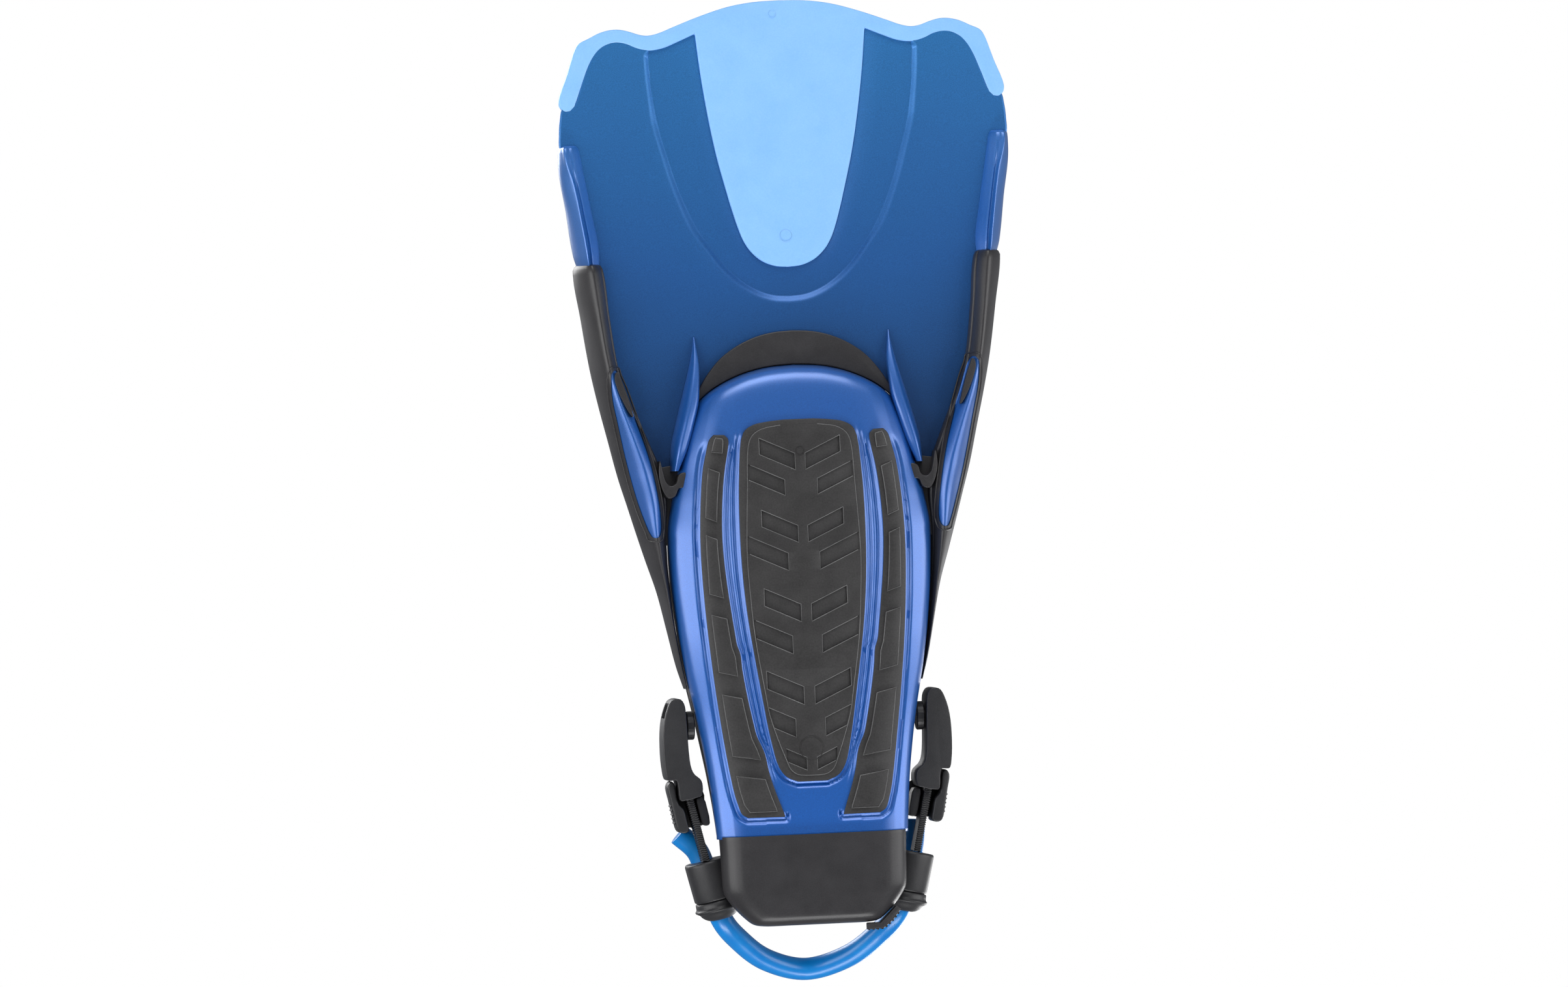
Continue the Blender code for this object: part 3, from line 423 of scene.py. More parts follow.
SOLE_BOTTOM = [
    (197.0, 15.5), (198.2, 9.6), (201.5, 5.6), (208.0, 3.4), (218.0, 2.5), (232.0, 2.2),
    (340.0, 2.2), (370.0, 3.4), (400.0, 4.4), (425.0, 3.8), (450.0, 2.4),
]
SOLE_RIM = [(197.0, 24.0), (380.0, 24.0), (425.0, 20.0), (450.0, 18.0)]
SOLE_SECTION = [
    (0, 0), (0.25, 0), (0.5, 0), (0.7, 0.03), (0.84, 0.12), (0.93, 0.29),
    (0.98, 0.50), (1.0, 0.74), (1.0, 1.0),
]


def side_at(distance):
    return read(SOLE_SIDE, 1, 0, distance)


def rim_at(distance):
    return read(SOLE_RIM, 0, 1, distance)


def blade_middle(distance):
    """Height of the blade's middle plane, which rises gently from tip to foot."""
    return 12.0 + distance * 8.0 / 180.0


def sole_height(x, distance):
    """Height of the sole's smooth underside, before its grooves."""
    bottom = read(SOLE_BOTTOM, 0, 1, distance)
    share = read(SOLE_SECTION[:-1], 0, 1, np.minimum(np.abs(x) / side_at(distance), 1.0))
    return bottom + share * (rim_at(distance) - bottom)


# %% [markdown]
# ## Turning points into pieces
#
# Every piece is a mesh built at its own place, so that its object can stay at the origin
# and its pattern keeps its scale. The helper joins doubled points, turns the faces
# outwards when the shape is closed, shades it smooth with crisp edges, and says which CAD
# body it rides on, which CAD node it stands for and which finish it takes.

# %% Helpers for meshes


def grid_faces(rows, columns, closed=False):
    faces = []
    for i in range(rows - 1):
        for j in range(columns if closed else columns - 1):
            k = (j + 1) % columns
            a, b = i * columns + j, i * columns + k
            faces.append((a, b, b + columns, a + columns))
    return faces


def raw_mesh(name, points, faces, close=True):
    """A mesh from points and faces, without doubled points or flat faces."""
    shape = bmesh.new()
    corners = [shape.verts.new(point) for point in points]
    for face in faces:
        kept = [i for k, i in enumerate(face) if tuple(points[i]) != tuple(points[face[k - 1]])]
        if len(kept) > 2:
            shape.faces.new([corners[i] for i in kept])
    bmesh.ops.remove_doubles(shape, verts=shape.verts, dist=0.000004)
    if close:
        bmesh.ops.recalc_face_normals(shape, faces=shape.faces)
    mesh = bpy.data.meshes.new(name)
    shape.to_mesh(mesh)
    shape.free()
    return mesh


def ring_mesh(name, rings):
    """A closed skin through rings of the same number of points, capped at both ends."""
    count = len(rings[0])
    points = [point for ring in rings for point in ring]
    faces = grid_faces(len(rings), count, closed=True)
    faces.append(tuple(reversed(range(count))))
    faces.append(tuple(range(len(points) - count, len(points))))
    return raw_mesh(name, points, faces)


def mirror_mesh(mesh, name):
    """The left-hand copy of a right-hand mesh."""
    other = mesh.copy()
    other.name = name
    other.transform(Matrix.Diagonal((-1, 1, 1, 1)))
    other.flip_normals()
    return other


def new_object(name, mesh, material, angle=35):
    made = bpy.data.objects.new(name, mesh)
    mesh.materials.clear()
    mesh.materials.append(material)
    mesh.shade_smooth()
    mesh.set_sharp_from_angle(angle=math.radians(angle))
    bpy.context.scene.collection.objects.link(made)
    return made


def modify(made, kind, **settings):
    """A modifier with its settings."""
    modifier = made.modifiers.new(kind.title(), kind)
    for key, value in settings.items():
        setattr(modifier, key, value)
    return modifier


def bevel(made, width_mm, segments=3, angle=35):
    modify(
        made, "BEVEL", width=width_mm * MM, segments=segments, limit_method="ANGLE",
        angle_limit=math.radians(angle), harden_normals=False, use_clamp_overlap=True,
    )


def settle(made, angle=35):
    """Bakes an object's modifiers into a plain mesh."""
    bpy.context.view_layer.update()
    graph = bpy.context.evaluated_depsgraph_get()
    plain = bpy.data.meshes.new_from_object(made.evaluated_get(graph), depsgraph=graph)
    made.modifiers.clear()
    old, made.data = made.data, plain
    bpy.data.meshes.remove(old)
    plain.shade_smooth()
    plain.set_sharp_from_angle(angle=math.radians(angle))
    return made


def attach(made, body, slot, *nodes):
    """Rides a finished piece on a body and stands it in for CAD nodes. The slot is not used."""
    if body:
        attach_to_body(made, body)
    if nodes:
        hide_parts(*nodes)
    return made


def both_sides(name, mesh, material, bodies, slot, node=None, angle=35):
    """A right-hand piece and its mirrored twin, each finished in the same way."""
    for side, body in zip(("right", "left"), bodies):
        shape = mesh if side == "right" else mirror_mesh(mesh, f"{name}_left")
        made = new_object(f"{name}_{side}_skin", shape, material, angle)
        attach(made, body, slot, *([f"{node}_{side}"] if node else []))


def only_mesh(made):
    """Keeps a scratch object's mesh and drops the object."""
    mesh = made.data
    bpy.data.objects.remove(made)
    return mesh


def rounded(points, steps):
    """A closed outline, smoothed into plain pairs."""
    return [tuple(p) for p in smooth(points, steps, closed=True)]


FIN = ("fin", "fin")
LOOP = ("strap_loop", "strap_loop")
LEVERS = ("lever_right", "lever_left")
STRAPS = ("strap_right", "strap_left")


# %% [markdown]
# ## Heel tube
#
# The heel loop is one length of silicone tube, pushed through the two strap housings. Its
# ends stick out ahead of them, and its middle arches behind the heel. The route is a few
# chosen points with a smooth line through them: straight through each housing, then
# round the heel with no bend tighter than two and a half diameters. The length is measured along
# that line. The two halves meet behind the heel.

# %% Heel tube
TUBE_WIDTH = 12.2 * MM
STRAP_MIDDLE_Z = 30.0 * MM
SLOT_POINT = place(64.8, 430.6, 0)
STRAP_END = place(57.4, 463.6, 0)
STRAP_LINE = (STRAP_END - SLOT_POINT).normalized()
OUTWARD = Vector((-STRAP_LINE.y, STRAP_LINE.x, 0))
if OUTWARD.x < 0:
    OUTWARD = -OUTWARD
HOUSING_RUN, PLUG_RUN = 22.0 * MM, 11.0 * MM
CUT_EDGE = 0.7 * MM


def tube_line(side):
    """The right-hand route of one half of the tube; the left one differs in its tail."""
    high = STRAP_MIDDLE_Z + 7.5 * MM + TUBE_WIDTH / 2 + 0.9 * MM
    front = STRAP_END + Vector((0, 0, high))
    back = STRAP_END + STRAP_LINE * (HOUSING_RUN + PLUG_RUN) - OUTWARD * 1.5 * MM
    back += Vector((0, 0, high - 1.0 * MM))
    reach = CAD_HIGH.y - TUBE_WIDTH / 2
    middle = Vector((0, reach, high + 28 * MM))
    drop = reach - back.y
    knee = Vector((back.x * 0.78, back.y + drop * 0.42, high + 10 * MM))
    waist = Vector((back.x * 0.46, back.y + drop * 0.80, high + 21 * MM))
    sway = 9 * MM if side == "left" else -2 * MM
    bend = front - STRAP_LINE * 6 * MM + OUTWARD * sway * 0.2
    tail = front - STRAP_LINE * 17 * MM + OUTWARD * sway
    past = Vector((-waist.x, waist.y, waist.z))
    keys = [tail, bend, front + STRAP_LINE * 6 * MM, back, knee, waist, middle, past]
    line = smooth([tuple(k) for k in keys], 10)[: 6 * 10 + 1]
    line[-1] = tuple(middle)
    return [Vector(p) for p in line], front, middle


def pipe_rings(line, radius, steps, last=None):
    """Rings square to a line, each turned as little as possible from the one before."""
    rings, side = [], None
    for i, point in enumerate(line):
        ahead = line[min(i + 1, len(line) - 1)] - line[max(i - 1, 0)]
        ahead.normalize()
        if last is not None and i == len(line) - 1:
            ahead = last
        if side is None:
            side = ahead.orthogonal().normalized()
        side = (side - ahead * side.dot(ahead)).normalized()
        other = ahead.cross(side)
        r = radius[i] if hasattr(radius, "__len__") else radius
        turns = [2 * math.pi * k / steps for k in range(steps)]
        rings.append([point + (side * math.cos(a) + other * math.sin(a)) * r for a in turns])
    return rings


def build_tube(side):
    line, front, middle = tube_line(side)
    radius = [TUBE_WIDTH / 2 - CUT_EDGE] + [TUBE_WIDTH / 2] * len(line)
    line = [line[0], line[0] + (line[1] - line[0]) * 0.12, *line[1:]]
    mesh = ring_mesh(f"tube_{side}", pipe_rings(line, radius, 40, Vector((-1, 0, 0))))
    flip = 1 if side == "right" else -1
    if flip < 0:
        mesh = mirror_mesh(mesh, "tube_left")
    made = new_object(f"heel_tube_{side}_skin", mesh, SILICONE, 50)
    path = [(p.x * flip, p.y, p.z) for p in line]
    length = sum(math.dist(a, b) for a, b in zip(path, path[1:]))
    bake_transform(made)
    attach(made, None, TUBE_SLOT, f"heel_tube_{side}")
    print(f"heel tube, {side} half: {length / MM:.0f} mm")
    return length


TUBE_LENGTH = build_tube("right") + build_tube("left")
print(f"heel tube in all: {TUBE_LENGTH / MM:.0f} mm")

# %% [markdown]
# ## Blade
#
# The blade is one thin moulded sheet. A shallow U-shaped channel is sunk round the rubber
# tongue, so the sheet folds into a scoop there. Its shape follows a rule: the height
# depends only on where a point lies between the notch, the channel's edge and the outer
# edge. The mesh is therefore laid as spokes that run from the notch to the outer edge,
# with close-set points on the channel's step, where the light shows the bend.

# %% Blade
BLADE_THICK = 2.8 * MM
CHANNEL_SINK = 1.9
STEP_RUN = 4.6
SPOKE_STARTS = [
    (0, 0.0), (10, 0.27), (14, 0.38), (20, 0.60), (25, 0.66), (28, 0.69),
    (32, 0.73), (34, 0.77),
]
TUCK = 1.2
SPOKE_STEPS = 5


def build_blade():
    front = [(x, t - TUCK) for x, t in reversed(TIP_INNER)][3:]
    outer = smooth(front + BLADE_REAR, SPOKE_STEPS)
    last = len(front + BLADE_REAR) - 1
    starts = SPOKE_STARTS + [(last, 1.0)]
    notch, step = evenly(smooth(TONGUE, 8), 400), evenly(smooth(CHANNEL, 8), 400)
    points = []
    for index, edge in enumerate(outer):
        share = float(read(starts, 0, 1, index / SPOKE_STEPS)) * 399
        low = min(int(share), 398)
        inner = notch[low] + (notch[low + 1] - notch[low]) * (share - low)
        brink = step[low] + (step[low + 1] - step[low]) * (share - low)
        across = (brink - inner) / np.linalg.norm(brink - inner)
        reach = np.linalg.norm(edge - brink)
        toward = (edge - brink) / reach if reach > 1 else across * 0
        run = min(STEP_RUN, reach * 0.45)
        row = [(inner - across * TUCK, 0.75), (inner + across * 0.6, 1.0)]
        row += [(inner * 0.5 + brink * 0.5, 1.0)]
        row += [(brink - across * inset, 1.0) for inset in (1.6, 0.8, 0.0)]
        for k in range(1, 8):
            row.append((brink + toward * run * k / 7, 1.0 - float(ease(k / 7))))
        crest = row[-1][0]
        for part in (0.08, 0.2, 0.35, 0.5, 0.65, 0.8, 0.92, 0.98, 1.0):
            row.append((crest + (edge - crest) * part, 0.0))
        if index == 0:
            row = [(p - np.array([0, TUCK]), min(lift, 0.75)) for p, lift in row]
        points.extend((p[0], p[1], lift * CHANNEL_SINK) for p, lift in row)
    columns = len(points) // len(outer)
    half = [place(x, t, blade_middle(t) + lift) for x, t, lift in points]
    for k in range(columns):
        half[-1 - k].x = 0.0
    faces = grid_faces(len(outer), columns)
    shift = len(half)
    points = half + [Vector((-v.x, v.y, v.z)) for v in half]
    faces += [tuple(reversed([i + shift for i in face])) for face in faces]
    made = new_object("blade_skin", raw_mesh("blade", points, faces, close=False), PEARL_BLADE, 60)
    modify(made, "SOLIDIFY", thickness=BLADE_THICK, offset=0.0, use_even_offset=False)
    return attach(made, "fin", PEARL_SLOT, "blade")


blade = build_blade()
print("blade faces:", len(blade.data.polygons))

# %% [markdown]
# ## Rubber tip
#
# The tip band and the tongue are one piece of soft rubber, moulded over the blade's edge.
# It is a flat slab with a drawn outline, so it is an outline extruded and then bevelled.
# The same helper makes every slab on the fin. The two round gate marks, where the rubber
# entered the mould, are rings that a small Geometry Nodes tree sweeps along circles.

# %% Slabs from an outline, and beads swept by Geometry Nodes


def slab(name, outline, low, high, material, round_mm, segments=3, angle=50):
    """A plate between two heights, each a number or a function of the distance."""
    rings = []
    for level in (low, high):
        height = level if callable(level) else (lambda t, z=level: z)
        rings.append([place(x, t, float(height(t))) for x, t in outline])
    made = new_object(name, ring_mesh(name, rings), material)
    bevel(made, round_mm, segments, angle)
    return settle(made, 30)


def bead_tree(name, material):
    """Sweeps a round bead along the edges of a wire mesh."""
    tree = bpy.data.node_groups.new(name, "GeometryNodeTree")
    face = tree.interface
    face.new_socket("Geometry", in_out="INPUT", socket_type="NodeSocketGeometry")
    face.new_socket("Radius", in_out="INPUT", socket_type="NodeSocketFloat")
    face.new_socket("Sides", in_out="INPUT", socket_type="NodeSocketInt")
    face.new_socket("Geometry", in_out="OUTPUT", socket_type="NodeSocketGeometry")
    given = add(tree, "NodeGroupInput").outputs
    path = add(tree, "GeometryNodeMeshToCurve", {"Mesh": given["Geometry"]})
    profile = add(
        tree, "GeometryNodeCurvePrimitiveCircle",
        {"Resolution": given["Sides"], "Radius": given["Radius"]},
    )
    swept = add(
        tree, "GeometryNodeCurveToMesh",
        {"Curve": path.outputs["Curve"], "Profile Curve": profile.outputs["Curve"]},
    )
    swept.inputs["Fill Caps"].default_value = True
    real = add(tree, "GeometryNodeRealizeInstances", {"Geometry": swept.outputs["Mesh"]})
    finish = add(tree, "GeometryNodeSetMaterial", {"Geometry": real.outputs["Geometry"]})
    finish.inputs["Material"].default_value = material
    add(tree, "NodeGroupOutput", {"Geometry": finish.outputs["Geometry"]})
    return tree


def run_nodes(name, mesh, tree, material, angle=35, **inputs):
    """Runs a Geometry Nodes tree on a mesh, with named inputs, and keeps a plain mesh."""
    made = bpy.data.objects.new(name, mesh)
    bpy.context.scene.collection.objects.link(made)
    modifier = made.modifiers.new("Nodes", "NODES")
    modifier.node_group = tree
    for item in tree.interface.items_tree:
        key = item.name.replace(" ", "_")
        if item.in_out == "INPUT" and key in inputs:
            modifier[item.identifier] = inputs[key]
    settle(made, angle)
    if not made.data.materials:
        made.data.materials.append(material)
    return made


def wire(name, lines, closed=False):
    """A mesh of edges only, through each line of points."""
    points, edges = [], []
    for line in lines:
        start = len(points)
        points.extend(line)
        edges += [(start + i, start + i + 1) for i in range(len(line) - 1)]
        if closed:
            edges.append((start + len(line) - 1, start))
    mesh = bpy.data.meshes.new(name)
    mesh.from_pydata([tuple(p) for p in points], edges, [])
    return mesh


BEADS = {
    material.name: bead_tree("bead_" + material.name, material)
    for material in (SKY_RUBBER, BLACK_RUBBER, TREAD_RUBBER, PAINTED_HIGHLIGHT_RUBBER, BLACK_NYLON)
}


def beads(name, lines, material, radius_mm, closed=False, sides=8):
    tree = BEADS[material.name]
    mesh = wire(name, lines, closed)
    return run_nodes(name, mesh, tree, material, 60, Radius=radius_mm * MM, Sides=sides)


def circle(x, distance, z, radius, steps=28):
    turns = [2 * math.pi * k / steps for k in range(steps)]
    return [place(x + math.cos(a) * radius, distance + math.sin(a) * radius, z) for a in turns]


# %% Rubber tip
TIP_THICK = 4.6


def build_tip():
    band = np.vstack([smooth(TIP_OUTER, 5), smooth(TIP_INNER, 5)[:-1], smooth(TONGUE, 5)])
    half = [tuple(p) for p in band]
    outline = half + [(-x, t) for x, t in reversed(half[1:-1])]
    low = lambda t: blade_middle(t) + 0.6 - TIP_THICK / 2
    high = lambda t: blade_middle(t) + 0.6 + TIP_THICK / 2
    made = slab("tip_rubber_skin", outline, low, high, SKY_RUBBER, 0.9, 3, 50)
    attach(made, "fin", SKY_SLOT, "tip_rubber")
    marks = [circle(-0.8, 127.0, low(127.0) - 0.02, 3.2), circle(-4.0, 7.2, low(7.2) - 0.02, 2.0)]
    attach(beads("tip_gate_marks", marks, SKY_RUBBER, 0.22, True, 6), "fin", SKY_SLOT)


build_tip()

# %% [markdown]
# ## Side rails
#
# A stiff rail runs down each edge of the blade. Its core is the pearl plastic, which
# shows at the front and again in a long window, and the rest is sleeved in black rubber.
# Both are sections swept along the fin: a section is a ring of shares of the rail's width
# and height, and a table gives that width and height along the way. The nose carries a
# leaf-shaped facet, made by sliding one crest of the section outwards towards the nose.

# %% Rail sections
RAIL_CORE = [
    (74.3, 113.6, 120.6, 12.6, 16.4), (74.6, 112.8, 121.4, 11.0, 19.0),
    (75.6, 111.8, 122.2, 9.4, 21.4), (78.0, 111.2, 122.6, 8.6, 22.6),
    (84.0, 110.2, 122.7, 7.8, 24.0), (110.0, 105.8, 119.4, 6.2, 29.0),
    (134.0, 102.4, 116.2, 5.0, 33.0), (146.0, 103.2, 112.6, 8.0, 31.0),
    (168.0, 101.4, 109.2, 9.4, 33.0),
]
RAIL_RUBBER = [
    (139.0, 103.4, 114.8, 7.0, 31.6), (139.7, 102.2, 115.8, 4.8, 34.0),
    (141.5, 101.2, 116.6, 3.8, 35.0),
    (168.0, 98.4, 113.2, 3.4, 38.5), (195.0, 94.8, 109.2, 3.4, 42.0),
    (214.0, 88.9, 105.4, 3.6, 44.0), (234.0, 80.5, 100.8, 4.2, 45.5),
    (254.0, 73.4, 96.2, 5.2, 46.0), (270.0, 71.2, 91.6, 6.6, 46.0),
    (288.0, 72.2, 86.4, 8.6, 45.6), (300.0, 72.0, 82.8, 10.6, 45.0),
    (318.0, 70.9, 77.2, 13.0, 44.0), (339.0, 68.8, 72.6, 16.0, 42.0),
    (358.0, 65.8, 68.6, 19.0, 39.0), (370.0, 63.6, 65.2, 22.0, 35.0),
]
SLEEVE_SECTION = [
    (0, 0.46), (0.0, 0.33), (0.035, 0.25), (0.09, 0.235), (0.12, 0.17), (0.20, 0.085),
    (0.32, 0.02), (0.42, 0.0), (0.52, 0.025), (0.66, 0.12), (0.82, 0.28), (0.94, 0.45),
    (1, 0.62), (0.97, 0.80), (0.85, 0.93), (0.65, 1), (0.4, 1), (0.16, 0.92),
    (0.03, 0.76), (0, 0.6),
]
LEAF_FROM, LEAF_TO = 75.0, 98.0


def core_section(distance):
    """The core's section: a flat leaf facet at the nose narrows to a ridge and a groove."""
    leaf = float(1 - ease((distance - LEAF_FROM) / (LEAF_TO - LEAF_FROM)))
    crest, inner = 0.54 + 0.20 * leaf, 0.36 + 0.02 * leaf
    dip = 0.05 * (1 - leaf)
    middle = (crest + inner) / 2
    return [
        (0.0, 0.44), (0.05, 0.34), (0.13, 0.25), (0.24, 0.16), (inner, 0.075),
        (middle - 0.03, 0.06 + dip), (middle + 0.03, 0.03 + dip), (crest, 0.0),
        (crest + 0.06, 0.035), (crest + (1 - crest) * 0.4, 0.15),
        (crest + (1 - crest) * 0.74, 0.32), (1, 0.55), (0.95, 0.80), (0.70, 1),
        (0.35, 0.97), (0.10, 0.80), (0, 0.62),
    ]


def rail_mesh(name, table, section, step):
    first, last = table[0][0], table[-1][0]
    spots = sorted({row[0] for row in table} | set(np.arange(first, last, step)))
    rings = []
    for t in spots:
        inner, outer, low, high = (float(read(table, 0, k, t)) for k in (1, 2, 3, 4))
        shape = smooth(section(t) if callable(section) else section, 3, closed=True)
        rings.append(
            [place(inner + u * (outer - inner), t, low + v * (high - low)) for u, v in shape]
        )
    return ring_mesh(name, rings)


def sleeve_under(x, t):
    """Height of the sleeve's underside."""
    inner, outer, low, high = (float(read(RAIL_RUBBER, 0, k, t)) for k in (1, 2, 3, 4))
    under = smooth(SLEEVE_SECTION[1:13], 4)
    return low + float(np.interp((x - inner) / (outer - inner), under[:, 0], under[:, 1])) * (
        high - low
    )


# %% [markdown]
# The window is cut through the sleeve with a Boolean, because its edge has to be crisp
# against the glossy core. A thin raised bead runs round it; a bead follows a path, so the
# nodes sweep it along the window's outline, laid on the sleeve's own surface.

# %% Rails, windows and inserts
WINDOW = [
    (196.6, 96.6, 98.2), (199.0, 95.2, 100.0), (206.0, 92.4, 100.2), (214.0, 89.8, 99.4),
    (225.0, 86.4, 97.2), (245.0, 80.6, 93.2), (265.0, 76.8, 88.4), (279.0, 75.4, 84.2),
    (285.0, 75.8, 82.0), (287.4, 77.4, 80.4),
]


def window_outline(grow=0.0):
    """The window's closed outline, as (half width, distance)."""
    inner = [(a - grow, t) for t, a, _ in WINDOW]
    outer = [(b + grow, t) for t, _, b in reversed(WINDOW)]
    inner[0], outer[-1] = (inner[0][0], 196.6 - grow), (outer[-1][0], 196.6 - grow)
    inner[-1], outer[0] = (inner[-1][0], 287.4 + grow), (outer[0][0], 287.4 + grow)
    return rounded(inner + outer, 5)


def build_rails():
    core = rail_mesh("rail_core", RAIL_CORE, core_section, 2.0)
    both_sides("rail_core", core, PEARL_GLOSS, FIN, PEARL_SLOT, "rail_core", angle=50)
    rows = [(t, a + 0.7, b - 0.7, low + 0.8, high - 3) for t, a, b, low, high in RAIL_RUBBER]
    glass = rail_mesh("rail_window_core", rows[4:-4], SLEEVE_SECTION, 2.0)
    both_sides("rail_window_core", glass, PEARL_GLOSS, FIN, PEARL_SLOT, angle=50)
    sleeve = rail_mesh("rail_rubber", RAIL_RUBBER, SLEEVE_SECTION, 2.5)
    made = new_object("rail_sleeve", sleeve, BLACK_RUBBER)
    rings = [[place(x, t, z) for x, t in window_outline()] for z in (-10.0, 60.0)]
    cutter = new_object("window_cutter", ring_mesh("window_cutter", rings), BLACK_RUBBER)
    modify(made, "BOOLEAN", operation="DIFFERENCE", solver="EXACT", object=cutter)
    settle(made)
    bpy.data.objects.remove(cutter)
    bevel(made, 0.7, 3, 55)
    settle(made, 40)
    mesh = only_mesh(made)
    both_sides("rail_rubber", mesh, BLACK_RUBBER, FIN, BLACK_SLOT, "rail_rubber", angle=40)
    rim = [place(x, t, sleeve_under(x, t) - 0.05) for x, t in window_outline(1.7)]
    mesh = only_mesh(beads("window_bead", [rim], BLACK_RUBBER, 0.5, True))
    both_sides("window_bead", mesh, BLACK_RUBBER, FIN, BLACK_SLOT, angle=70)


def build_inserts():
    inner = [(197.6, 96.4), (200.0, 95.4), (206.0, 93.2), (214.0, 90.8), (222.0, 89.0)]
    outer = [(197.8, 97.4), (201.0, 98.2), (207.0, 96.8), (214.0, 94.0), (220.0, 90.8)]
    outline = [(x, t) for t, x in inner] + [(x, t) for t, x in reversed(outer)]
    low = lambda t: 3.2 + (t - 197) * 0.03
    mesh = only_mesh(slab("insert", rounded(outline, 4), low, 8.4, BLACK_RUBBER, 1.3, 4))
    both_sides("window_insert", mesh, BLACK_RUBBER, FIN, BLACK_SLOT, "window_insert")


def build_bridges():
    joint = [
        (75.0, 246.0), (73.6, 252.6), (72.2, 257.6), (69.6, 260.0), (66.6, 258.6),
        (65.0, 254.0), (61.4, 253.0), (61.2, 260.6), (65.4, 261.4), (67.4, 265.4),
        (71.0, 266.6), (73.8, 263.0), (76.0, 254.0),
    ]
    mesh = only_mesh(slab("bridge", rounded(joint, 3), 9.4, 21.2, BLACK_RUBBER, 0.9, 3))
    both_sides("bridge", mesh, BLACK_RUBBER, FIN, BLACK_SLOT, "bridge")
    web = [
        (61.6, 248.0), (75.6, 250.0), (74.8, 262.0), (74.0, 276.0), (74.0, 292.0),
        (69.6, 292.0), (67.0, 276.0), (63.4, 262.0),
    ]
    mesh = only_mesh(slab("web", web, 19.4, 21.4, BLACK_RUBBER, 0.4, 2))
    both_sides("pocket_web", mesh, BLACK_RUBBER, FIN, BLACK_SLOT)


build_rails()
build_inserts()
build_bridges()

# %% [markdown]
# ## Spine ribs
#
# Two pointed ribs brace the blade against the foot pocket. Each starts as a knife edge on
# the blade and widens into the pocket's flank. They are rings along the fin again, with
# one crest that catches a line of light.

# %% Spine ribs
RIBS = [
    (180.0, 52.8, 53.4, 18.0, 18.6), (184.0, 52.4, 53.8, 16.4, 18.8),
    (196.0, 51.2, 56.4, 12.4, 18.8), (212.0, 52.0, 60.8, 8.6, 19.4),
    (228.0, 55.8, 65.2, 6.8, 20.2), (240.0, 59.6, 68.0, 6.8, 20.8),
    (252.0, 64.8, 68.8, 9.0, 21.2),
]
RIB_SECTION = [
    (0, 0.5), (0.02, 0.2), (0.14, 0.07), (0.34, 0.02), (0.52, 0.0), (0.66, 0.06),
    (0.84, 0.3), (0.96, 0.62), (1, 0.85), (0.98, 1), (0.5, 1), (0.02, 1), (0, 0.85),
]
rib = rail_mesh("spine_rib", RIBS, RIB_SECTION, 2.0)
both_sides("spine_rib", rib, PEARL_GLOSS, FIN, PEARL_SLOT, "spine_rib", angle=60)

# %% [markdown]
# ## Sole plate
#
# The sole is a tray under the foot. It rolls up at the front and along both flanks, and
# soft grooves run round every tread pad so that the rubber locks into the plastic. The
# grooves are a rule: their depth depends only on the distance from a pad's edge. The
# underside is therefore a fine grid whose height is looked up point by point, which is
# the same idea as sculpting along a stencil. The tray then gets its wall from Solidify.

# %% Tread outlines, shared by the pads and the grooves
CENTRE_TREAD = [
    (226.6, 8.0), (227.4, 17.0), (229.0, 25.0), (233.0, 30.2), (254.0, 33.2), (297.0, 34.0),
    (331.0, 31.9), (373.0, 26.0), (400.0, 21.6), (414.0, 18.0), (419.4, 14.0), (422.2, 8.0),
]
SIDE_TREAD_INNER = [
    (233.6, 40.6), (236.0, 38.4), (242.0, 38.9), (254.0, 41.2), (270.0, 43.0),
    (288.0, 43.8), (306.0, 43.0), (322.0, 41.4), (340.0, 39.2), (347.0, 38.2),
    (352.0, 36.6), (360.0, 35.9), (373.0, 34.0), (386.0, 31.6), (397.0, 29.2),
    (402.0, 27.0), (407.0, 25.2), (416.0, 23.6), (426.0, 20.8), (437.0, 17.0),
    (440.8, 15.8),
]
SIDE_TREAD_OUTER = [
    (440.6, 36.0), (438.4, 39.2), (433.0, 41.2), (426.0, 43.0), (403.0, 46.6),
    (360.0, 51.8), (322.0, 54.8), (288.0, 55.6), (254.0, 53.0), (242.0, 50.4),
    (236.0, 48.6), (233.4, 46.2),
]


def centre_outline():
    half = [tuple(p[::-1]) for p in smooth(CENTRE_TREAD, 4)]
    return half + [(-x, t) for x, t in reversed(half)]


def side_outline():
    inner = [tuple(p[::-1]) for p in smooth(SIDE_TREAD_INNER, 4)]
    outer = [tuple(p[::-1]) for p in smooth(SIDE_TREAD_OUTER, 4)]
    return inner + outer


def nearness(x, t, line):
    """Distance from each point to an open or closed line."""
    a, b = line[:-1], line[1:]
    best = np.full(x.shape, 1e9)
    for (ax, at), (bx, bt) in zip(a, b):
        dx, dt = bx - ax, bt - at
        share = np.clip(((x - ax) * dx + (t - at) * dt) / (dx * dx + dt * dt + 1e-12), 0, 1)
        best = np.minimum(best, np.hypot(x - ax - share * dx, t - at - share * dt))
    return best


def inside(x, t, outline):
    """Whether each point lies inside a closed outline."""
    found = np.zeros(x.shape, bool)
    for (ax, at), (bx, bt) in zip(outline, outline[1:] + outline[:1]):
        crosses = (at > t) != (bt > t)
        where = (bx - ax) * (t - at) / (bt - at + 1e-12) + ax
        found ^= crosses & (x < where)
    return found


# %% Sole plate
GROOVE_DEPTH = 1.6
SOLE_WALL = 3.0 * MM


def signed_away(x, t, outline):
    """Distance outwards from a closed outline, negative inside it."""
    away = nearness(x, t, outline + outline[:1])
    return np.where(inside(x, t, outline), -away, away)


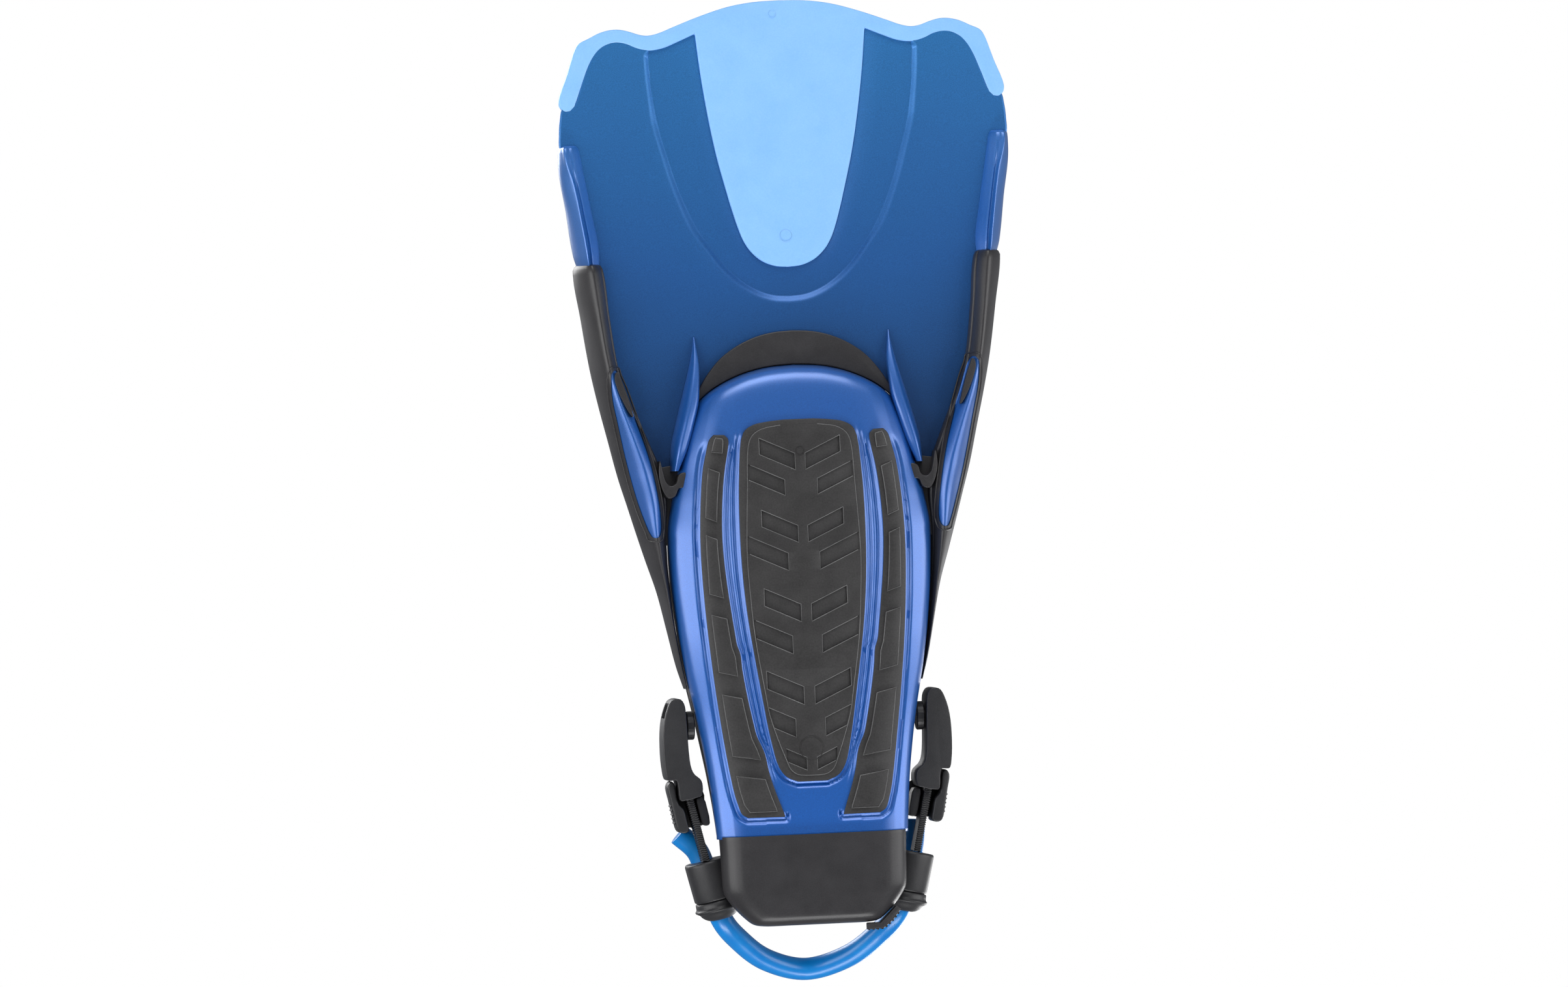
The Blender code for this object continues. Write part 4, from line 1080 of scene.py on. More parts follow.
def channel(away, half):
    """A smooth channel beside an edge: 0 at its brinks and 1 along its middle."""
    return 0.5 + 0.5 * np.cos(math.pi * np.clip((away - half) / half, -1, 1))


def groove(x, t):
    """How far the underside is sunk at a point, from the pads round it."""
    wide = np.abs(x)
    centre, side = centre_outline(), side_outline()
    gap = read(SIDE_TREAD_INNER, 0, 1, t) - read(CENTRE_TREAD, 0, 1, np.minimum(t, 405.0))
    half = np.clip(gap / 4, 1.7, 2.4)
    around = channel(signed_away(x, t, centre), half) * ease((t - 230.0) / 10.0)
    away = signed_away(wide, t, side)
    within = wide < (read(SIDE_TREAD_INNER, 0, 1, t) + read(SIDE_TREAD_OUTER, 0, 1, t)) / 2
    beside = channel(away, np.where(within, half, 1.9)) * ease((t - 236.0) / 8.0)
    beside = beside * np.where(within & (t < 439.0), 1 - ease((t - 404.0) / 24.0), 1.0)
    beside = beside * np.where(t > 438.0, ease((wide - 12.4) / 2.4), 1.0)
    return np.maximum(around, beside) * GROOVE_DEPTH


def build_sole():
    section = smooth(SOLE_SECTION[4:], 6)
    flank = [tuple(p) for p in section[1:]]
    flat = np.linspace(-0.84, 0.84, 150)
    half_widths = [(-u, v) for u, v in reversed(flank)] + [(u, None) for u in flat] + flank
    rows = [197.0, 197.4, 198.0, 199.0, 200.4, 202.4, 205.0, 208.0, 211.5, 215.0]
    rows += [218.5, 222.0, 225.5, 228.5, *np.arange(231.0, 446.4, 0.95), 447.6, 449.8, 451.8]
    grid_x, grid_t, grid_z = [], [], []
    for t in rows:
        fade = max(0.0, 1.0 - (t - 197.0) / 50.0)
        half = float(side_at(t + 19.0 * fade))
        bottom, rim = float(read(SOLE_BOTTOM, 0, 1, t)), float(rim_at(t))
        shares = np.array([u for u, _ in half_widths])
        curve = read(SOLE_SECTION[:-1], 0, 1, np.minimum(np.abs(shares), 1.0))
        given = np.array([c if v is None else v for (_, v), c in zip(half_widths, curve)])
        x = shares * half
        bend = read(SOLE_FRONT, 0, 1, np.minimum(np.abs(x), 53.5)) - 197.0
        grid_x.append(x)
        grid_t.append(t + bend * fade)
        grid_z.append(bottom + given * (rim - bottom))
    x, t, z = np.array(grid_x), np.array(grid_t), np.array(grid_z)
    z = z + groove(x, t)
    points = [place(*values) for values in zip(x.ravel(), t.ravel(), z.ravel())]
    mesh = raw_mesh("sole_plate", points, grid_faces(*x.shape), close=False)
    made = new_object("sole_plate_skin", mesh, PEARL_GLOSS, 70)
    modify(made, "SOLIDIFY", thickness=SOLE_WALL, offset=1.0, use_even_offset=True)
    return attach(made, "fin", PEARL_SLOT, "sole_plate")


sole = build_sole()
print("sole faces before its wall:", len(sole.data.polygons))

# %% [markdown]
# ## Tread pads
#
# Three rubber pads are moulded into the sole. The centre pad is a plateau with a lower
# border: rows of slanting notches are sunk in it, alternately a pair in the middle and a
# pair open to the border, like a tyre tread. Because the notches repeat, a Geometry Nodes
# tree places a box at each point of a small table, slants it and hands back the cutters.
# A Boolean sinks them, a small bevel softens the edges, and the finished pattern is bent
# to the sole, which is why it is first sliced every few millimetres. A thin bead runs along
# each crest, coloured a paler grey as a painted highlight on the edges.

# %% Notch cutters by Geometry Nodes
NOTCH_SLANT = 0.466
# Row distance at the middle line, then the start and length of each notch, and its width.
NOTCH_ROWS = [
    (245.0, 2.7, 19.3, 9.0), (259.0, 8.8, 30.0, 8.6), (284.0, 2.6, 19.7, 9.2),
    (298.6, 8.5, 30.0, 9.6), (326.4, 2.8, 19.8, 9.6), (343.4, 8.0, 30.0, 9.8),
    (371.0, 2.9, 20.0, 9.8), (388.2, 8.0, 30.0, 10.0), (409.2, 2.8, 11.0, 7.0),
]


def notch_tree():
    """Boxes on points, sized by the points' own values and slanted away from the middle."""
    tree = bpy.data.node_groups.new("slanted_notches", "GeometryNodeTree")
    face = tree.interface
    face.new_socket("Geometry", in_out="INPUT", socket_type="NodeSocketGeometry")
    face.new_socket("Slant", in_out="INPUT", socket_type="NodeSocketFloat")
    face.new_socket("Height", in_out="INPUT", socket_type="NodeSocketFloat")
    face.new_socket("Geometry", in_out="OUTPUT", socket_type="NodeSocketGeometry")
    given = add(tree, "NodeGroupInput").outputs
    box = add(tree, "GeometryNodeMeshCube", Size=(1, 1, 1))
    size = [
        add(tree, "GeometryNodeInputNamedAttribute", data_type="FLOAT", Name=name)
        for name in ("notch_length", "notch_width")
    ]
    scale = add(
        tree, "ShaderNodeCombineXYZ",
        {"X": size[0].outputs["Attribute"], "Y": size[1].outputs["Attribute"],
         "Z": given["Height"]},
    )
    placed = add(
        tree, "GeometryNodeInstanceOnPoints",
        {"Points": given["Geometry"], "Instance": box.outputs["Mesh"],
         "Scale": scale.outputs["Vector"]},
    )
    real = add(tree, "GeometryNodeRealizeInstances", {"Geometry": placed.outputs["Instances"]})
    spot = add(
        tree, "ShaderNodeSeparateXYZ",
        {"Vector": add(tree, "GeometryNodeInputPosition").outputs["Position"]},
    )
    away = add(tree, "ShaderNodeMath", {0: spot.outputs["X"]}, operation="ABSOLUTE")
    drop = add(
        tree, "ShaderNodeMath", {0: away.outputs[0], 1: given["Slant"]}, operation="MULTIPLY"
    )
    down = add(tree, "ShaderNodeMath", {0: drop.outputs[0]}, operation="MULTIPLY")
    down.inputs[1].default_value = -1.0
    offset = add(tree, "ShaderNodeCombineXYZ", {"Y": down.outputs[0]})
    slanted = add(
        tree, "GeometryNodeSetPosition",
        {"Geometry": real.outputs["Geometry"], "Offset": offset.outputs["Vector"]},
    )
    finish = add(tree, "GeometryNodeSetMaterial", {"Geometry": slanted.outputs["Geometry"]})
    finish.inputs["Material"].default_value = TREAD_RUBBER
    add(tree, "NodeGroupOutput", {"Geometry": finish.outputs["Geometry"]})
    return tree


def notch_points():
    points, lengths, widths = [], [], []
    for distance, start, length, width in NOTCH_ROWS:
        for side in (1, -1):
            x = side * (start + length / 2)
            points.append(place(x, distance + NOTCH_SLANT * start + width / 2, 0))
            lengths.append(length * MM)
            widths.append(width * MM)
    mesh = bpy.data.meshes.new("notch_points")
    mesh.from_pydata(points, [], [])
    for name, values in (("notch_length", lengths), ("notch_width", widths)):
        mesh.attributes.new(name, "FLOAT", "POINT").data.foreach_set("value", values)
    return mesh


# %% Tread pads
PAD_DROP = 2.2
EDGE_ROUND = 0.26
RELIEF = 1.05
PLATEAU = [
    (229.6, 10.0), (231.2, 20.0), (234.6, 25.4), (240.0, 27.8), (262.0, 29.2),
    (292.0, 30.7), (303.0, 30.8), (324.0, 29.8), (337.0, 28.9), (349.0, 27.6),
    (373.0, 24.0), (385.5, 22.0), (398.4, 18.2), (410.0, 14.0), (415.5, 11.6),
    (418.2, 8.0), (418.9, 3.0),
]


def slice_along(mesh, step_mm):
    """Cuts a mesh across the fin at even steps, so that it can bend along the sole."""
    shape = bmesh.new()
    shape.from_mesh(mesh)
    low = min(v.co.y for v in shape.verts)
    high = max(v.co.y for v in shape.verts)
    for y in np.arange(low + step_mm * MM, high, step_mm * MM):
        everything = shape.verts[:] + shape.edges[:] + shape.faces[:]
        bmesh.ops.bisect_plane(
            shape, geom=everything, plane_co=(0, y, 0), plane_no=(0, 1, 0), dist=1e-7
        )
    shape.to_mesh(mesh)
    shape.free()


def bend_to_sole(mesh):
    """Moves a pad built flat on Z = 0 on to the sole's underside."""
    for vertex in mesh.vertices:
        t = (vertex.co.y - TIP_Y) / MM
        vertex.co.z += float(sole_height(vertex.co.x / MM, t)) * MM - PAD_DROP * MM


def flat_prism(name, outline, low, high):
    return ring_mesh(name, [[place(x, t, z) for x, t in outline] for z in (low, high)])


def on_pad(x, t):
    """A point on the face of a pad's plateau."""
    return place(x, t, float(sole_height(x, t)) - PAD_DROP + 0.12)


def notch_edges():
    """The crests round each notch, cut short where the notch runs out of the plateau."""
    lines = []
    for distance, start, length, width in NOTCH_ROWS:
        edges = []
        for shift in (0.0, width):
            edge = []
            for x in np.linspace(start, start + length, 24):
                t = distance + shift - NOTCH_SLANT * (x - start)
                if x < float(read(PLATEAU, 0, 1, t)) - 0.3:
                    edge.append((x, t))
            edges.append(edge)
        line = edges[0][::-1] + edges[1]
        closed = len(edges[0]) == len(edges[1]) == 24
        line = line + line[:1] if closed else line
        for side in (1, -1):
            lines.append([on_pad(x * side, t) for x, t in line])
    return lines


def build_centre_tread():
    base = new_object(
        "pad", flat_prism("pad", centre_outline(), RELIEF, PAD_DROP - 0.1), TREAD_RUBBER
    )
    bevel(base, 0.45, 2, 50)
    settle(base)
    half = [tuple(p[::-1]) for p in smooth(PLATEAU, 3)]
    outline = half + [(-x, t) for x, t in reversed(half)]
    top = new_object("plateau", flat_prism("plateau", outline, 0.0, RELIEF + 0.5), TREAD_RUBBER)
    tree = notch_tree()
    cutters = run_nodes(
        "notches", notch_points(), tree, TREAD_RUBBER, Slant=NOTCH_SLANT, Height=0.008
    )
    modify(top, "BOOLEAN", operation="DIFFERENCE", solver="EXACT", object=cutters)
    settle(top)
    print("notches cut:", len(NOTCH_ROWS) * 2)
    bpy.data.objects.remove(cutters)
    bevel(top, 0.55, 3, 50)
    settle(top)
    for part in (base, top):
        slice_along(part.data, 3.0)
        bend_to_sole(part.data)
        part.data.set_sharp_from_angle(angle=math.radians(35))
    base.name = "centre_tread_skin"
    attach(base, "fin", BLACK_SLOT, "centre_tread")
    top.name = "centre_tread_plateau"
    attach(top, "fin", BLACK_SLOT)
    low = lambda t: float(sole_height(0.0, t)) - PAD_DROP
    marks = [circle(0.0, 244.0, low(244.0), 2.2), circle(0.0, 404.4, low(404.4), 6.4)]
    attach(beads("tread_gate_marks", marks, TREAD_RUBBER, 0.3, True, 6), "fin", BLACK_SLOT)
    crests = notch_edges() + [[on_pad(x, t) for x, t in outline]]
    # The crest beads take the paler grey, a painted highlight on the edges.
    attach(beads("tread_crests", crests, PAINTED_HIGHLIGHT_RUBBER, EDGE_ROUND, sides=6), "fin", BLACK_SLOT)


# Side blocks: start and end distances.
SIDE_BLOCKS = [
    (235.4, 243.0), (252.6, 279.0), (288.6, 320.2), (331.6, 362.6), (374.8, 408.2),
    (419.0, 437.8),
]
BLOCK_INSET = 3.0


def build_side_tread():
    base = new_object(
        "pad", flat_prism("pad", side_outline(), RELIEF, PAD_DROP - 0.1), TREAD_RUBBER
    )
    bevel(base, 0.45, 2, 50)
    settle(base)
    slice_along(base.data, 4.0)
    bend_to_sole(base.data)
    pad = only_mesh(base)
    shape = bmesh.new()
    crests = []
    for start, end in SIDE_BLOCKS:
        line = np.linspace(start, end, 7)
        inner = [(float(read(SIDE_TREAD_INNER, 0, 1, t)) + BLOCK_INSET, t) for t in line]
        outer = [(float(read(SIDE_TREAD_OUTER, 0, 1, t)) - BLOCK_INSET, t) for t in line]
        slant = 0.35 if start > 240 else 0.1
        outline = [(x, t + slant * 3.5) for x, t in inner]
        outline += [(x, t - slant * 3.5) for x, t in reversed(outer)]
        if start > 410:
            outline[6], outline[7] = (outline[6][0] + 0.6, 437.6), (outline[7][0] - 1.6, 437.6)
        crests.append([on_pad(x, t) for x, t in outline + outline[:1]])
        shape.from_mesh(flat_prism("block", outline, 0.0, RELIEF + 0.5))
    mesh = bpy.data.meshes.new("side_blocks")
    shape.to_mesh(mesh)
    shape.free()
    blocks = new_object("blocks", mesh, TREAD_RUBBER)
    bevel(blocks, 0.55, 3, 50)
    settle(blocks)
    slice_along(blocks.data, 4.0)
    bend_to_sole(blocks.data)
    mesh = only_mesh(blocks)
    both_sides("side_tread", pad, TREAD_RUBBER, FIN, BLACK_SLOT, "side_tread")
    both_sides("side_tread_blocks", mesh, TREAD_RUBBER, FIN, BLACK_SLOT)
    # The crest beads take the paler grey, a painted highlight on the edges.
    mesh = only_mesh(beads("crests", crests, PAINTED_HIGHLIGHT_RUBBER, EDGE_ROUND, sides=6))
    both_sides("side_tread_crests", mesh, PAINTED_HIGHLIGHT_RUBBER, FIN, BLACK_SLOT)


build_centre_tread()
build_side_tread()

# %% [markdown]
# ## Toe crescent and footbed
#
# A crescent of black rubber fills the opening ahead of the sole, where the toes rest. The
# footbed is a separate pad in the pocket, with low bars across it that keep a wet boot
# from sliding. Bars repeat, so the same bead tree sweeps them.

# %% Toe crescent and footbed
CRESCENT_FRONT = [
    (0, 178.4), (9.5, 179.0), (19.0, 181.0), (29.0, 185.2), (39.0, 192.0),
    (46.6, 200.6), (51.0, 207.4), (54.6, 214.0),
]
FOOTBED = [
    (212.0, 29.0), (218.0, 36.0), (230.0, 40.5), (254.0, 45.0), (288.0, 49.0),
    (330.0, 47.6), (370.0, 43.6), (403.0, 40.2), (430.0, 37.8), (449.0, 37.0),
    (466.0, 36.4), (478.0, 33.0), (486.0, 25.0),
]
FOOTBED_THICK = 3.0
BAR_PITCH, BAR_BOW, BAR_RADIUS = 9.0, 5, 0.8


def build_crescent():
    rear = [(x, t - 0.4) for x, t in SOLE_FRONT[:-1]] + [(54.6, 217.0)]
    half = [tuple(p) for p in smooth(CRESCENT_FRONT, 4)]
    back = [tuple(p) for p in smooth(rear, 4)]
    outline = [(-x, t) for x, t in reversed(half[1:])] + half
    outline += list(reversed(back)) + [(-x, t) for x, t in back[1:]]
    made = slab("toe_crescent_skin", outline, 15.6, 20.2, BLACK_RUBBER, 0.6, 3, 40)
    attach(made, "fin", BLACK_SLOT, "toe_crescent")


def footbed_floor(t):
    floor = float(read(SOLE_BOTTOM, 0, 1, t)) + 3.6
    return max(floor, 4.9 if t > 449.5 else 0.0)


def build_footbed():
    grid, bars = [], []
    for t in np.linspace(212.0, 486.0, 60):
        half = float(read(FOOTBED, 0, 1, t))
        shares = np.linspace(-1, 1, 21)
        grid.append([place(s * half, t, footbed_floor(t) + 0.6 * abs(s)) for s in shares])
    for t in np.arange(226.0, 478.0, BAR_PITCH):
        half = float(read(FOOTBED, 0, 1, t)) - 7
        bars.append(
            [place(s * half, t - BAR_BOW * (1 - s * s), footbed_floor(t) + 3.1 + 0.6 * abs(s))
             for s in np.linspace(-1, 1, 15)]
        )
    points = [p for row in grid for p in row]
    mesh = raw_mesh("footbed", points, grid_faces(60, 21), close=False)
    made = new_object("footbed_skin", mesh, BLACK_RUBBER)
    modify(made, "SOLIDIFY", thickness=FOOTBED_THICK * MM, offset=1.0)
    bevel(made, 0.9, 3, 60)
    attach(made, "fin", BLACK_SLOT, "footbed")
    attach(beads("footbed_bars", bars, BLACK_RUBBER, BAR_RADIUS), "fin", BLACK_SLOT)
    print("footbed bars:", len(bars))


build_crescent()
build_footbed()

# %% [markdown]
# ## Foot pocket
#
# The instep is a soft vault over the forefoot, and its walls run back to the heel. The
# vault is a row of arches, each a table entry, skinned as a coarse cage and rounded by
# Subdivision Surface before Solidify gives it its wall. A rolled lip follows its open
# edge and five ribs run over the instep, so both are swept beads.

# %% Foot pocket
INSTEP_ROWS = [
    (179.4, 216.8, 22.2), (181.0, 219.0, 30.0), (185.0, 224.0, 38.0),
    (195.0, 232.0, 46.0), (210.0, 242.0, 52.0), (228.0, 254.0, 59.0),
    (248.0, 268.0, 67.0), (268.0, 284.0, 75.0), (288.0, 300.0, 83.0),
    (305.0, 314.0, 89.0), (320.0, 327.0, 94.0), (331.0, 337.0, 96.0),
]
WALL_ROWS = [
    (346.0, 63.0), (357.0, 56.0), (371.0, 50.5), (386.0, 47.0), (401.0, 43.0),
    (418.0, 35.0), (435.0, 26.5), (449.8, 20.5),
]
ARCH_COLUMNS = 20
VAULT_WALL, LIP_RADIUS = 3.4 * MM, 2.3
RIB_LIFT, RIB_RADIUS = 3.3, 1.5
RIB_ANGLES = (50, 70, 90, 110, 130)


def arch_point(row, angle, index, lift=0.0):
    """A point of one arch of the vault; the angle runs from the right rim to the left."""
    middle, edge, top = row
    half = float(side_at(edge)) + lift
    rim = float(rim_at(edge)) + 0.7 + max(0.0, 3.6 - 0.8 * index)
    c, s = math.cos(angle), max(math.sin(angle), 0.0)
    x = math.copysign(half * abs(c) ** 0.75, c)
    t = middle + (edge - middle) * (abs(x) / half) ** 2
    return place(x, t, rim + (max(top, 22.2) + lift - rim) * s ** 0.8)


def build_pocket():
    points, faces = [], []
    columns = ARCH_COLUMNS + 1
    for index, row in enumerate(INSTEP_ROWS):
        for j in range(columns):
            points.append(arch_point(row, math.pi * j / ARCH_COLUMNS, index))
    faces += grid_faces(len(INSTEP_ROWS), columns)
    start = (len(INSTEP_ROWS) - 1) * columns
    rims = {1: [points[start + 4]], -1: [points[start + ARCH_COLUMNS - 4]]}
    for side in (1, -1):
        previous = [start + (j if side > 0 else ARCH_COLUMNS - j) for j in range(5)]
        for t, top in WALL_ROWS:
            current = []
            rim = float(rim_at(t)) + 0.7
            for j in range(5):
                share = j / 4
                x = float(side_at(t)) * (1 - 0.05 * share * share) * side
                current.append(len(points))
                points.append(place(x, t, rim + (top - rim) * share))
            rims[side].append(points[-1])
            for j in range(4):
                quad = (previous[j], previous[j + 1], current[j + 1], current[j])
                faces.append(quad if side > 0 else quad[::-1])
            previous = current
    made = new_object(
        "pocket_upper_skin", raw_mesh("pocket", points, faces, close=False), BLACK_RUBBER, 60
    )
    modify(made, "SUBSURF", levels=2, render_levels=2)
    modify(made, "SOLIDIFY", thickness=VAULT_WALL, offset=1.0)
    attach(made, "fin", BLACK_SLOT, "pocket_upper")
    arch = [points[start + j] for j in range(4, ARCH_COLUMNS - 3)]
    edge = list(reversed(rims[1][1:])) + arch + rims[-1][1:]
    edge = [Vector(p) for p in smooth([tuple(p) for p in edge], 4)]
    lip = beads("pocket_lip", [edge], BLACK_RUBBER, LIP_RADIUS, sides=14)
    attach(lip, "fin", BLACK_SLOT)
    ribs = []
    for angle in np.radians(RIB_ANGLES):
        line = [arch_point(row, angle, i, RIB_LIFT) for i, row in enumerate(INSTEP_ROWS)][3:-1]
        ribs.append([Vector(p) for p in smooth([tuple(p) for p in line], 4)])
    attach(beads("instep_ribs", ribs, BLACK_RUBBER, RIB_RADIUS, sides=12), "fin", BLACK_SLOT)


build_pocket()

# %% [markdown]
# ## Heel cup
#
# The heel is a rubber tub welded to the sole, with a flat bottom and clipped corners. Its
# columns run from the middle of the heel out over a rounded edge and up to the rim. A
# ribbed lug on one corner gives a thumb something to press when the fin is pulled off.

# %% Heel cup and lug
HEEL_OUTLINE = [
    (50.8, 450.6), (50.4, 460.0), (50.2, 470.0), (49.6, 480.0), (48.6, 483.0),
    (44.0, 489.6), (37.6, 496.2), (34.0, 498.8), (29.0, 499.8), (14.0, 500.0), (0, 500.0),
]
HEEL_PROFILE = [
    (0, 0), (0.4, 0), (0.62, 0.05), (0.75, 0.35), (0.85, 1.4), (0.92, 3.4), (0.97, 6.6),
    (0.99, 10.0), (1, 13.5), (1, 18.0),
]
HEEL_SPINE_END = 474.0
HEEL_WALL = 4.5 * MM


def build_heel():
    half = [tuple(p) for p in smooth(HEEL_OUTLINE, 5)]
    outline = half + [(-x, t) for x, t in reversed(half[:-1])]
    profile = smooth(HEEL_PROFILE, 4)
    grid = []
    for x, t in outline:
        spine = min(t, HEEL_SPINE_END)
        grid.append([place(x * s, spine + (t - spine) * s, z) for s, z in profile])
    points = [p for row in grid for p in row]
    mesh = raw_mesh("heel_cup", points, grid_faces(len(grid), len(profile)), close=False)
    made = new_object("heel_cup_skin", mesh, BLACK_RUBBER, 60)
    modify(made, "SOLIDIFY", thickness=HEEL_WALL, offset=1.0)
    bevel(made, 0.8, 3, 60)
    attach(made, "fin", BLACK_SLOT, "heel_cup")
    outline = [
        (27.0, 500.3), (34.0, 500.3), (40.4, 494.0), (43.0, 491.4), (45.4, 493.4),
        (40.6, 499.4), (35.6, 503.2), (27.0, 503.6),
    ]
    lug = slab("heel_lug_skin", outline, 5.0, 14.0, BLACK_RUBBER, 0.5, 2)
    attach(lug, "fin", BLACK_SLOT, "heel_lug")
    path = smooth([(27.6, 503.5), (35.6, 503.1), (40.6, 499.3), (45.2, 493.6)], 8)
    ribs = [[place(x, t, z) for z in (5.6, 13.4)] for x, t in evenly(path, 10)]
    attach(beads("heel_lug_ribs", ribs, BLACK_RUBBER, 0.65), "fin", BLACK_SLOT)


build_heel()

# %% [markdown]
# ## Buckle and release lever
#
# The buckle hangs on a post in the pocket's wall. It is glass-filled nylon with a spark
# texture, drawn as a plan outline, extruded across the strap and rounded on every edge.
# Its strap slot is cut by a Boolean. Behind it sits the release lever, a tab that opens
# the pawl when it is pushed outwards, with grip ridges where the thumb lands. A guide runs
# beside the strap, and a thin wall above the strap ties that guide to the lever's side.

# %% Buckle and lever
POST = place(59.1, 390.0, 30.0)
BUCKLE = [
    (65.8, 381.4), (66.4, 378.0), (68.2, 375.4), (71.0, 375.0), (73.6, 376.2),
    (75.6, 380.0), (77.4, 386.0), (78.4, 393.0), (78.7, 400.0), (78.6, 408.0),
    (78.0, 414.6), (77.2, 418.4), (76.2, 419.2), (73.4, 419.0), (72.2, 419.2),
    (71.4, 424.0), (70.9, 429.4), (69.8, 430.4), (60.2, 428.4), (58.6, 427.2),
    (58.3, 421.4), (59.4, 418.8), (62.2, 416.4), (63.8, 413.4), (64.7, 408.0), (65.2, 398.0),
]
LEVER = [
    (73.2, 421.2), (74.4, 419.7), (75.8, 420.2), (76.9, 422.4), (76.8, 425.0),
    (75.8, 429.6), (74.2, 438.0), (72.8, 445.0), (71.6, 447.2), (69.8, 447.9),
    (67.4, 447.6), (66.2, 446.4), (67.2, 441.0), (68.6, 435.0), (71.2, 432.2), (72.4, 427.6),
]
GUIDE = [
    (57.6, 429.0), (61.4, 429.6), (60.8, 434.6), (59.4, 441.0), (58.6, 443.6),
    (57.2, 444.4), (55.2, 444.2), (54.4, 443.0), (55.6, 435.0),
]
BACK_WALL = [
    (56.4, 426.0), (66.0, 424.0), (73.6, 422.6), (73.8, 430.0), (71.4, 440.0), (69.6, 444.6),
    (60.0, 445.2), (55.6, 443.2), (55.8, 434.0),
]
SLOT_LONG, SLOT_WIDE, SLOT_TALL = 0.090, 0.0046, 0.016
# Lowest and highest level of each block above the floor.
BUCKLE_LEVELS, GUIDE_LEVELS = (18.5, 41.5), (25.0, 41.0)
WALL_LEVELS, LEVER_LEVELS = (37.75, 38.25), (22.0, 38.0)


def block(name, outline, levels, material, round_mm, segments=4):
    """A rounded block between two heights over a plan outline."""
    made = new_object(name, flat_prism(name, outline, *levels), material)
    bevel(made, round_mm, segments, 50)
    return settle(made, 40)


def strap_box(name, centre, long, wide, tall):
    """A box along the strap."""
    rings = []
    for a in (-1, 1):
        ring = []
        for b, c in ((-1, -1), (1, -1), (1, 1), (-1, 1)):
            ring.append(
                centre + STRAP_LINE * (a * long / 2) + OUTWARD * (b * wide / 2)
                + Vector((0, 0, c * tall / 2))
            )
        rings.append(ring)
    return ring_mesh(name, rings)


def build_buckles():
    made = block("buckle", rounded(BUCKLE, 2), BUCKLE_LEVELS, BLACK_NYLON, 1.5, 4)
    centre = SLOT_POINT - STRAP_LINE * 0.010 + Vector((0, 0, STRAP_MIDDLE_Z))
    shape = strap_box("slot", centre, SLOT_LONG, SLOT_WIDE, SLOT_TALL)
    slot = new_object("slot", shape, BLACK_NYLON)
    modify(made, "BOOLEAN", operation="DIFFERENCE", solver="EXACT", object=slot)
    settle(made, 40)
    bpy.data.objects.remove(slot)
    mesh = only_mesh(made)
    both_sides("buckle", mesh, BLACK_NYLON, LOOP, HARD_SLOT, "buckle", angle=40)
    mesh = only_mesh(block("guide", rounded(GUIDE, 2), GUIDE_LEVELS, BLACK_NYLON, 0.7, 3))
    both_sides("buckle_guide", mesh, BLACK_NYLON, LOOP, HARD_SLOT)
    mesh = only_mesh(block("wall", rounded(BACK_WALL, 3), WALL_LEVELS, BLACK_NYLON, 0.15, 2))
    both_sides("buckle_back_wall", mesh, BLACK_NYLON, LOOP, HARD_SLOT)
    mesh = only_mesh(block("lever", rounded(LEVER, 2), LEVER_LEVELS, BLACK_NYLON, 1.0, 3))
    both_sides("release_lever", mesh, BLACK_NYLON, LEVERS, HARD_SLOT, "release_lever")
    grips = []
    for k in range(5):
        x, t = 75.15 - 0.44 * k, 433.2 + 2.3 * k
        grips.append([place(x, t, z) for z in (24.0, 36.0)])
    mesh = only_mesh(beads("grips", grips, BLACK_NYLON, 0.55))
    both_sides("lever_grips", mesh, BLACK_NYLON, LEVERS, HARD_SLOT)


build_buckles()
for side in ("right", "left"):
    for node, finish in (("strap_post", BLACK_NYLON), ("lever_pin", STEEL)):
        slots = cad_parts[f"{node}_{side}"].material_slots
        for entry in slots:
            entry.material = finish

# %% [markdown]
# ## Ratchet straps
#
# Each strap is a narrow nylon band with fine S-shaped teeth that the pawl climbs. One
# tooth is a small bent bar of under a hundred faces, and a Geometry Nodes tree repeats it
# along the strap: it turns a line along the strap into points at the tooth pitch and
# places a tooth on each.

# %% Ratchet straps
STRAP_WIDE, STRAP_THICK = 15.0 * MM, 3.6 * MM
TOOTH_PITCH = 1.2 * MM
STRAP_TAIL = 29.0 * MM


def teeth_tree():
    """Repeats a tooth along a wire at a given pitch."""
    tree = bpy.data.node_groups.new("strap_teeth", "GeometryNodeTree")
    face = tree.interface
    face.new_socket("Geometry", in_out="INPUT", socket_type="NodeSocketGeometry")
    face.new_socket("Tooth", in_out="INPUT", socket_type="NodeSocketObject")
    face.new_socket("Pitch", in_out="INPUT", socket_type="NodeSocketFloat")
    face.new_socket("Geometry", in_out="OUTPUT", socket_type="NodeSocketGeometry")
    given = add(tree, "NodeGroupInput").outputs
    path = add(tree, "GeometryNodeMeshToCurve", {"Mesh": given["Geometry"]})
    points = add(
        tree, "GeometryNodeCurveToPoints",
        {"Curve": path.outputs["Curve"], "Length": given["Pitch"]}, mode="LENGTH",
    )
    tooth = add(tree, "GeometryNodeObjectInfo", {"Object": given["Tooth"]})
    placed = add(
        tree, "GeometryNodeInstanceOnPoints",
        {"Points": points.outputs["Points"], "Instance": tooth.outputs["Geometry"]},
    )
    real = add(tree, "GeometryNodeRealizeInstances", {"Geometry": placed.outputs["Instances"]})
    finish = add(tree, "GeometryNodeSetMaterial", {"Geometry": real.outputs["Geometry"]})
    finish.inputs["Material"].default_value = BLACK_NYLON
    add(tree, "NodeGroupOutput", {"Geometry": finish.outputs["Geometry"]})
    return tree


